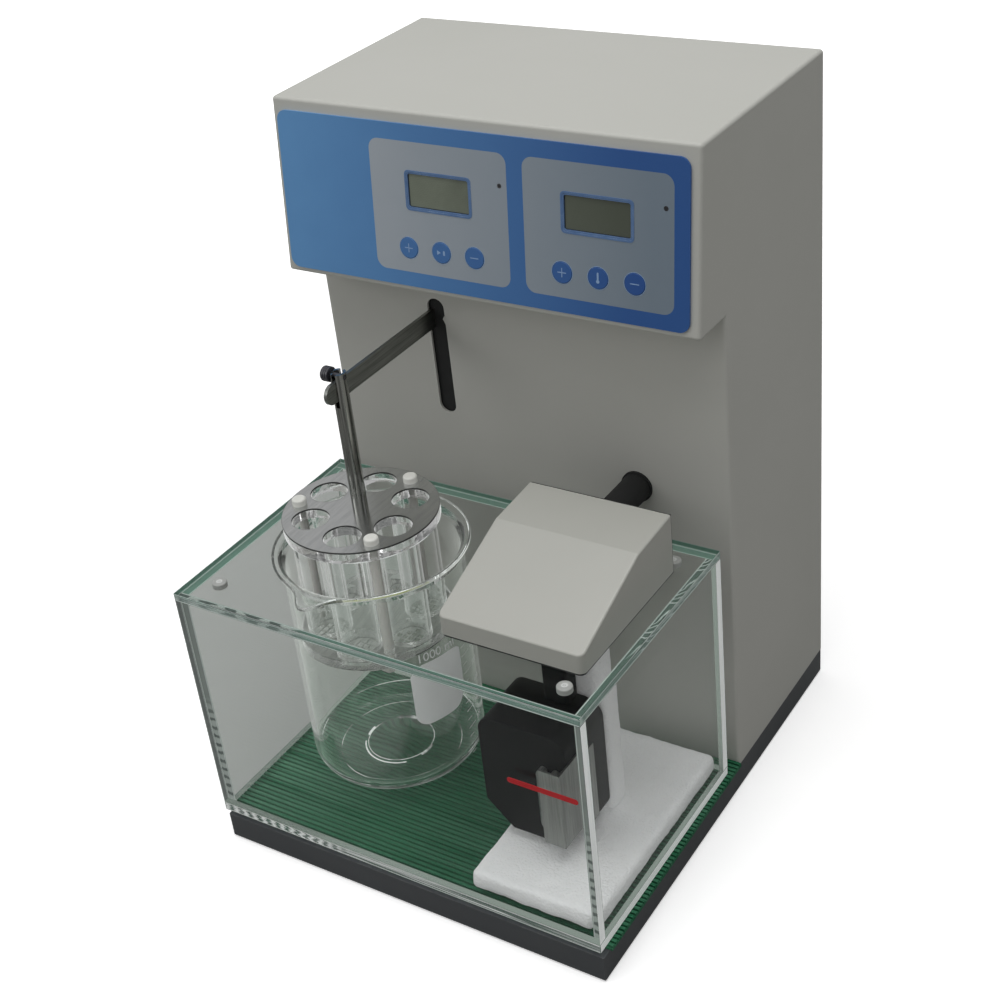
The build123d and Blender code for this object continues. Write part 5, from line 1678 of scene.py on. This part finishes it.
@dataclass
class ControlPanel:
    """Details of the leaning control face: display frames and panes, key prints and rings."""

    low_y: float = -0.0097
    low_z: float = 0.320
    rise: float = 0.100
    lean: float = 0.0102
    groups: Sequence[float] = (-0.0226, 0.0736)
    sides: Sequence[str] = ("timer", "bath")
    rows: Sequence[Sequence[KeySign]] = ((KeySign.PLUS, KeySign.RUN, KeySign.MINUS),
                                         (KeySign.PLUS, KeySign.HEAT, KeySign.MINUS))
    group_height: float = 0.0483
    window: Pair = (0.0422, 0.0222)
    window_corner: float = 0.0025
    bezel_corner: float = 0.0020
    inner_corner: float = 0.00125
    well_corner: float = 0.00075
    window_rise: float = 0.0099
    bezel: float = 0.0019
    bezel_lift: float = 0.0002
    overlap: float = 0.0001
    well: float = 0.0008
    skin: float = 0.0012
    sink: float = 0.0009
    key_radius: float = 0.00585
    key_pitch: float = 0.0212
    key_drop: float = 0.0226
    key_top: float = 0.0015
    ring_gaps: Pair = (0.00048, 0.00022)
    ring_steps: int = 48
    ink: float = 0.00006
    bar: Point = (0.0052, 0.0005, 0.0002)
    upright_share: float = 0.43
    upright_rise: float = 0.00143
    arrow: Outline = ((-0.0026, -0.0013), (-0.0003, 0.0), (-0.0026, 0.0013))
    block: Point = (0.0012, 0.0026, 0.0003)
    block_x: float = 0.0018
    stem: Point = (0.0010, 0.0042, 0.00048)
    stem_rise: float = 0.0010
    bulb: float = 0.00095
    bulb_drop: float = 0.0018

    def place(self, x: float, height: float, depth: float) -> Matrix:
        """Work out the place of a point on the face.

        Args:
            x: how far right it is.
            height: how far up the face it is.
            depth: how far out of the face it is.

        Returns:
            Its place, with its own Z out of the face.
        """
        out = Vector((0.0, -self.rise, self.lean)).normalized()
        side = Vector((1.0, 0.0, 0.0))
        upward = out.cross(side)
        turn = Matrix((side, upward, out)).transposed().to_4x4()
        start = Vector((0.0, self.low_y, self.low_z))
        return Matrix.Translation(start + side * x + upward * height + out * depth) @ turn

    def key_place(self, group: float, step: int, depth: float) -> Matrix:
        """Return the place over the middle of one key, counted from its group's middle key."""
        return self.place(group + step * self.key_pitch, self.group_height - self.key_drop, depth)

    def build(self) -> None:
        """Make the display frames and panes, the rings and the key prints."""
        self.displays()
        self.rings()
        self.prints()

    def inset(self, less: float, corner: float) -> list[Pair]:
        """Return the window's outline, made less wide and high, with corners of its own."""
        width, height = self.window
        return rounded_outline(width - less, height - less, corner)

    def displays(self) -> None:
        """Frames with a sunk pane in a dark well of painted shadow, in place of the flat windows."""
        frames, wells, panes = Shape(), Shape(), Shape()
        outer = self.inset(0.0, self.window_corner)
        middle = self.inset(self.bezel, self.bezel_corner)
        inner = self.inset(2 * self.bezel, self.inner_corner)
        edge = self.inset(2 * self.bezel - self.overlap, self.inner_corner)
        pane = self.inset(2 * self.bezel + self.well, self.well_corner)
        for group in self.groups:
            low = self.place(group, self.group_height + self.window_rise, 0.0)
            frames.frame(outer, middle, self.skin + self.bezel_lift, low)
            frames.frame(middle, inner, self.skin, low)
            wells.frame(edge, pane, self.skin - self.sink + self.overlap, low)
            panes.slab(edge, self.skin - self.sink, low)
        made = frames.build("display_frames", [FRAME_BLUE], slot="panel_blue")
        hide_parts("display_windows")
        # The dark wells round the panes are painted shadow.
        wells.build("display_wells", [DARK_SHADOW], slot="black_plastic")
        panes.build("display_panes", [DISPLAY], slot="display_glass")

    def rings(self) -> None:
        """Thin pale lines round each key."""
        shape = Shape()
        outer, inner = (self.key_radius + gap for gap in self.ring_gaps)
        for group in self.groups:
            for step in (-1, 0, 1):
                shape.band(outer, inner, self.ink, self.ring_steps, self.key_place(group, step, self.skin))
        shape.build("panel_rings", [PANEL_INK], slot="panel_grey")

    def prints(self) -> None:
        """A sign on each key, which moves with it."""
        for group, side, row in zip(self.groups, self.sides, self.rows):
            for step, sign in zip((-1, 0, 1), row):
                shape = Shape()
                for outline in self.sign(sign):
                    shape.slab(outline, self.ink, self.key_place(group, step, self.key_top))
                shape.build(f"{side}_{sign.value}_sign", [PANEL_INK], body=f"{side}_key_{sign.value}_cap",
                            slot="panel_grey")

    def sign(self, kind: KeySign) -> list[Outline]:
        """Draw one sign.

        Args:
            kind: the sign.

        Returns:
            Its outlines.
        """
        bar = rounded_outline(*self.bar, steps=3)
        if kind is KeySign.MINUS:
            return [bar]
        if kind is KeySign.PLUS:
            uprights = [[(-y, x * self.upright_share + rise) for x, y in bar]
                        for rise in (self.upright_rise, -self.upright_rise)]
            return [bar, *uprights]
        if kind is KeySign.RUN:
            return [self.arrow, [(x + self.block_x, y) for x, y in rounded_outline(*self.block, steps=3)]]
        stem = [(x, y + self.stem_rise) for x, y in rounded_outline(*self.stem, steps=4)]
        return [stem, [(x, y - self.bulb_drop) for x, y in circle_outline(self.bulb, steps=24)]]


@dataclass
class LidMarks:
    """A raised screw mark on each knob of the lid."""

    radius: float = 0.0043
    outer: float = 0.0017
    inner: float = 0.0010
    lift: float = 0.00006
    line: Point = (0.0004, 0.0014, 0.00015)
    steps: int = 32

    def build(self) -> None:
        """Make the four marks, placed from the knobs' own box."""
        low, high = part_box("lid_knobs")
        shape = Shape()
        for x in (low.x + self.radius, high.x - self.radius):
            for y in (low.y + self.radius, high.y - self.radius):
                place = Matrix.Translation((x, y, high.z))
                shape.band(self.outer, self.inner, self.lift, self.steps, place)
                shape.slab(rounded_outline(*self.line, steps=3), self.lift, place)
        shape.build("lid_knob_marks", [WHITE_INK], slot="white_nylon")


@dataclass
class DiscEdges:
    """Painted shade round the steel disc and its holes; painted light and shade at the clear discs' corners.
    """

    hole_radius: float = 0.0110
    hole_circle: float = 0.0288
    hole_count: int = 6
    first_angle: float = -15.0
    clear_thickness: float = 0.0060
    line: float = 0.0005
    gap: float = 0.00002
    skin: float = 0.00012
    disc_steps: int = 144
    hole_steps: int = 64

    def build(self) -> None:
        """Make the painted shade bands on the steel disc and the painted light and shade lines on the clear
        ones.
        """
        self.steel_bands()
        self.clear_lines()

    def steel_bands(self) -> None:
        """Put a thin dark band of painted shade round the disc and a thin dark sleeve in each hole."""
        low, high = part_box("steel_disc")
        middle = (low + high) / 2
        radius = (high.x - low.x) / 2 + self.gap
        height = high.z - low.z - 2 * self.gap
        shape = Shape()
        place = Matrix.Translation((middle.x, middle.y, low.z + self.gap))
        shape.band(radius + self.skin, radius, height, self.disc_steps, place)
        outer = self.hole_radius - self.gap
        for step in range(self.hole_count):
            angle = math.radians(self.first_angle + 360.0 * step / self.hole_count)
            out = Vector((self.hole_circle * math.cos(angle), self.hole_circle * math.sin(angle), 0.0))
            shape.band(outer, outer - self.skin, height, self.hole_steps, Matrix.Translation(out) @ place)
        shape.build("disc_edge_shade", [DISC_EDGE_SHADE], body="basket", slot="bright_steel")

    def clear_lines(self) -> None:
        """Draw painted shade and painted highlight lines along the corners of the two clear discs."""
        low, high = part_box("clear_discs")
        middle = (low + high) / 2
        radius = (high.x - low.x) / 2 + self.gap
        shape = Shape()
        for height, slot in ((low.z, GlintSlot.SHADE),
                             (low.z + self.clear_thickness - self.line, GlintSlot.SHADE),
                             (high.z - self.clear_thickness, GlintSlot.LIGHT)):
            shape.band(radius + self.skin, radius, self.line, self.disc_steps,
                       Matrix.Translation((middle.x, middle.y, height)), slot)
        shape.build("clear_disc_lines", [GLINT, RIM_SHADE], body="basket", slot="clear_sheet")


@dataclass
class SlotNub:
    """The small burr left on the slot's right edge."""

    edge_x: float = -0.04675
    face_y: float = 0.0200
    z: float = 0.2885
    reach: float = 0.0016
    height: float = 0.0062
    thickness: float = 0.0012
    # Corners as shares of its reach and of half its height.
    corners: Outline = ((0.0, -1.0), (0.25, 1.0), (-0.5, 0.5), (-1.0, 0.0), (-0.6, -0.3))

    def build(self) -> None:
        """Make a low wedge in the sheet's own plane."""
        outline = [(x * self.reach, y * self.height / 2) for x, y in self.corners]
        turn = Matrix.Rotation(math.radians(90.0), 4, "X")
        shape = Shape()
        shape.slab(outline, self.thickness,
                   Matrix.Translation((self.edge_x, self.face_y + self.thickness, self.z)) @ turn)
        shape.build("slot_nub", [HOUSING], smooth=30.0, slot="housing_paint")


@dataclass
class RearMarks:
    """The two plain marks on the mains rocker."""

    x: float = 0.040
    pivot_y: float = 0.144147
    z: float = 0.062
    tilt: float = 7.0
    face: float = 0.0050
    dish: float = 0.0015
    half_height: float = 0.0115
    gap: float = 0.00002
    ink: float = 0.00006
    line: Point = (0.0007, 0.0046, 0.0003)
    ring: Pair = (0.0024, 0.0018)
    steps: int = 32

    def build(self) -> None:
        """Print a line above and a ring below, each flush on its half of the rocker."""
        shape = Shape()
        lean = math.degrees(math.atan2(self.dish, self.half_height))
        tilt = Matrix.Rotation(math.radians(-self.tilt), 4, "X")
        pivot = Matrix.Translation((self.x, self.pivot_y, self.z)) @ tilt
        for side in (1, -1):
            out = Matrix.Rotation(math.radians(-90 + side * lean), 4, "X")
            middle = Vector((0.0, self.face + self.dish / 2 + self.gap, side * self.half_height / 2))
            place = pivot @ Matrix.Translation(middle) @ out
            if side > 0:
                shape.slab(rounded_outline(*self.line, steps=3), self.ink, place)
            else:
                shape.band(*self.ring, self.ink, self.steps, place)
        shape.build("rocker_marks", [WHITE_INK], body="rocker", slot="white_nylon")


@dataclass(frozen=True)
class Viewpoint:
    """Where the camera stands and how it is turned, in metres and degrees."""

    position: Point = (0.4714, -0.6825, 0.7034)
    target: Point = (0.0081, -0.0242, 0.2050)
    roll: float = -6.622
    lens: float = 60.09
    sensor: float = 36.0

    def place(self) -> None:
        """Make the camera and set it as the scene's."""
        data = bpy.data.cameras.new("photo_camera")
        data.lens = self.lens
        data.sensor_width = self.sensor
        data.clip_start = 0.01
        camera = bpy.data.objects.new("photo_camera", data)
        bpy.context.scene.collection.objects.link(camera)
        ahead = (Vector(self.target) - Vector(self.position)).normalized()
        side = ahead.cross(Vector((0, 0, 1))).normalized()
        above = side.cross(ahead)
        turn = math.radians(self.roll)
        right = side * math.cos(turn) + above * math.sin(turn)
        upward = above * math.cos(turn) - side * math.sin(turn)
        rotation = Matrix((right, upward, -ahead)).transposed().to_4x4()
        camera.matrix_world = Matrix.Translation(self.position) @ rotation
        bpy.context.scene.camera = camera


@dataclass(frozen=True)
class SoftLamp:
    """A square soft light that points at the object."""

    name: str
    position: Point
    size: float
    power: float
    aim: Point = (0.0, 0.0, 0.2)

    def place(self) -> None:
        """Make the lamp."""
        data = bpy.data.lights.new(self.name, "AREA")
        data.size = self.size
        data.energy = self.power
        lamp = bpy.data.objects.new(self.name, data)
        bpy.context.scene.collection.objects.link(lamp)
        lamp.location = self.position
        lamp.rotation_euler = (Vector(self.position) - Vector(self.aim)).to_track_quat("Z", "Y").to_euler()


@dataclass
class Studio:
    """Floor, world, lamps and camera."""

    ambient: float = 0.34
    through: float = 0.35
    shine: float = 0.44
    floor_size: float = 6.0
    floor_z: float = -0.0004
    floor_tone: Color = tone(150, 150, 148)
    floor_through: Color = tone(186, 187, 185)
    floor_rough: float = 0.9
    floor_shine: float = 0.1
    floor_lift: float = 0.43
    shadow_reach: float = 0.6
    lamps: Sequence[SoftLamp] = (
        SoftLamp("ceiling_light", (0.1, -0.2, 2.1), 1.6, 21.0),
        SoftLamp("window_light", (-1.3, -1.5, 1.3), 1.2, 6.0),
    )

    def build(self) -> None:
        """Make everything around the object."""
        self.world()
        self.floor()
        for lamp in self.lamps:
            lamp.place()
        Viewpoint().place()
        bpy.context.scene.view_settings.view_transform = "Standard"

    def world(self) -> None:
        """A white surround for the eye, and plain grey ones for light and for what glass shows."""
        world = bpy.data.worlds.new("white_room")
        wiring = Wiring.fresh(world)
        background = wiring.node("Background")
        path = wiring.node("LightPath")
        strength = wiring.span(path.outputs["Is Glossy Ray"], 0.0, 1.0, self.ambient, self.shine)
        strength = wiring.span(path.outputs["Is Camera Ray"], 0.0, 1.0, strength, 1.0)
        strength = wiring.span(path.outputs["Is Transmission Ray"], 0.0, 1.0, strength, self.through)
        wiring.fill(background, Strength=strength, Color=WHITE)
        wiring.fill(wiring.node("OutputWorld"), Surface=background.outputs["Background"])
        bpy.context.scene.world = world

    def floor(self) -> None:
        """A pale floor that keeps the object's shadow."""
        mesh = bpy.data.meshes.new("floor")
        sheet = bmesh.new()
        bmesh.ops.create_grid(sheet, x_segments=1, y_segments=1, size=self.floor_size / 2)
        sheet.to_mesh(mesh)
        sheet.free()
        mesh.materials.append(self.floor_material())
        floor = bpy.data.objects.new("floor", mesh)
        bpy.context.scene.collection.objects.link(floor)
        floor.location.z = self.floor_z

    def floor_material(self) -> bpy.types.Material:
        """Make the floor's material: white to the eye but for the shadow, grey in glass and for light.

        Returns:
            The material.
        """
        material = bpy.data.materials.new("pale_floor")
        wiring = Wiring.fresh(material)
        shader = wiring.node("BsdfPrincipled")
        path = wiring.node("LightPath")
        color = wiring.blend(path.outputs["Is Transmission Ray"], self.floor_tone, self.floor_through)
        away = wiring.node("VectorMath", operation="LENGTH")
        wiring.join(wiring.node("TexCoord").outputs["Object"], away.inputs[0])
        lift = wiring.span(away.outputs["Value"], self.shadow_reach, self.shadow_reach * 2,
                           self.floor_lift, 1.0)
        wiring.fill(shader, Base_Color=wiring.blend(path.outputs["Is Camera Ray"], color, WHITE),
                    Roughness=self.floor_rough, Specular_IOR_Level=self.floor_shine, Emission_Color=WHITE,
                    Emission_Strength=wiring.times(path.outputs["Is Camera Ray"], lift))
        wiring.fill(wiring.node("OutputMaterial"), Surface=shader.outputs["BSDF"])
        return material


def dress_nodes(frame: dict) -> None:
    """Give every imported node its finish.
    """
    for name, finish in NODE_FINISHES.items():
        node = frame["nodes"].get(name)
        if node is None:
            LOG.warning("no node %s", name)
            continue
        if not node.material_slots:
            node.data.materials.append(finish.material())
        for slot in node.material_slots:
            slot.material = finish.material()
        LOG.info("dressed %s", name)


def main() -> None:
    """Build the whole scene in order."""
    logging.basicConfig(level=logging.INFO, format="%(name)s: %(message)s")
    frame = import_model()
    Studio().build()
    dress_nodes(frame)
    Bath().build(frame)
    Beaker().build()
    FoamPiece("foam_pad_soft", "foam_pad", 0.0045, crease=0.0375).build()
    FoamPiece("foam_block_soft", "foam_block", 0.0055, step=0.0024, seed=7.0).build()
    ControlPanel().build()
    LidMarks().build()
    SlotNub().build()
    DiscEdges().build()
    RearMarks().build()


if __name__ == "__main__":
    main()
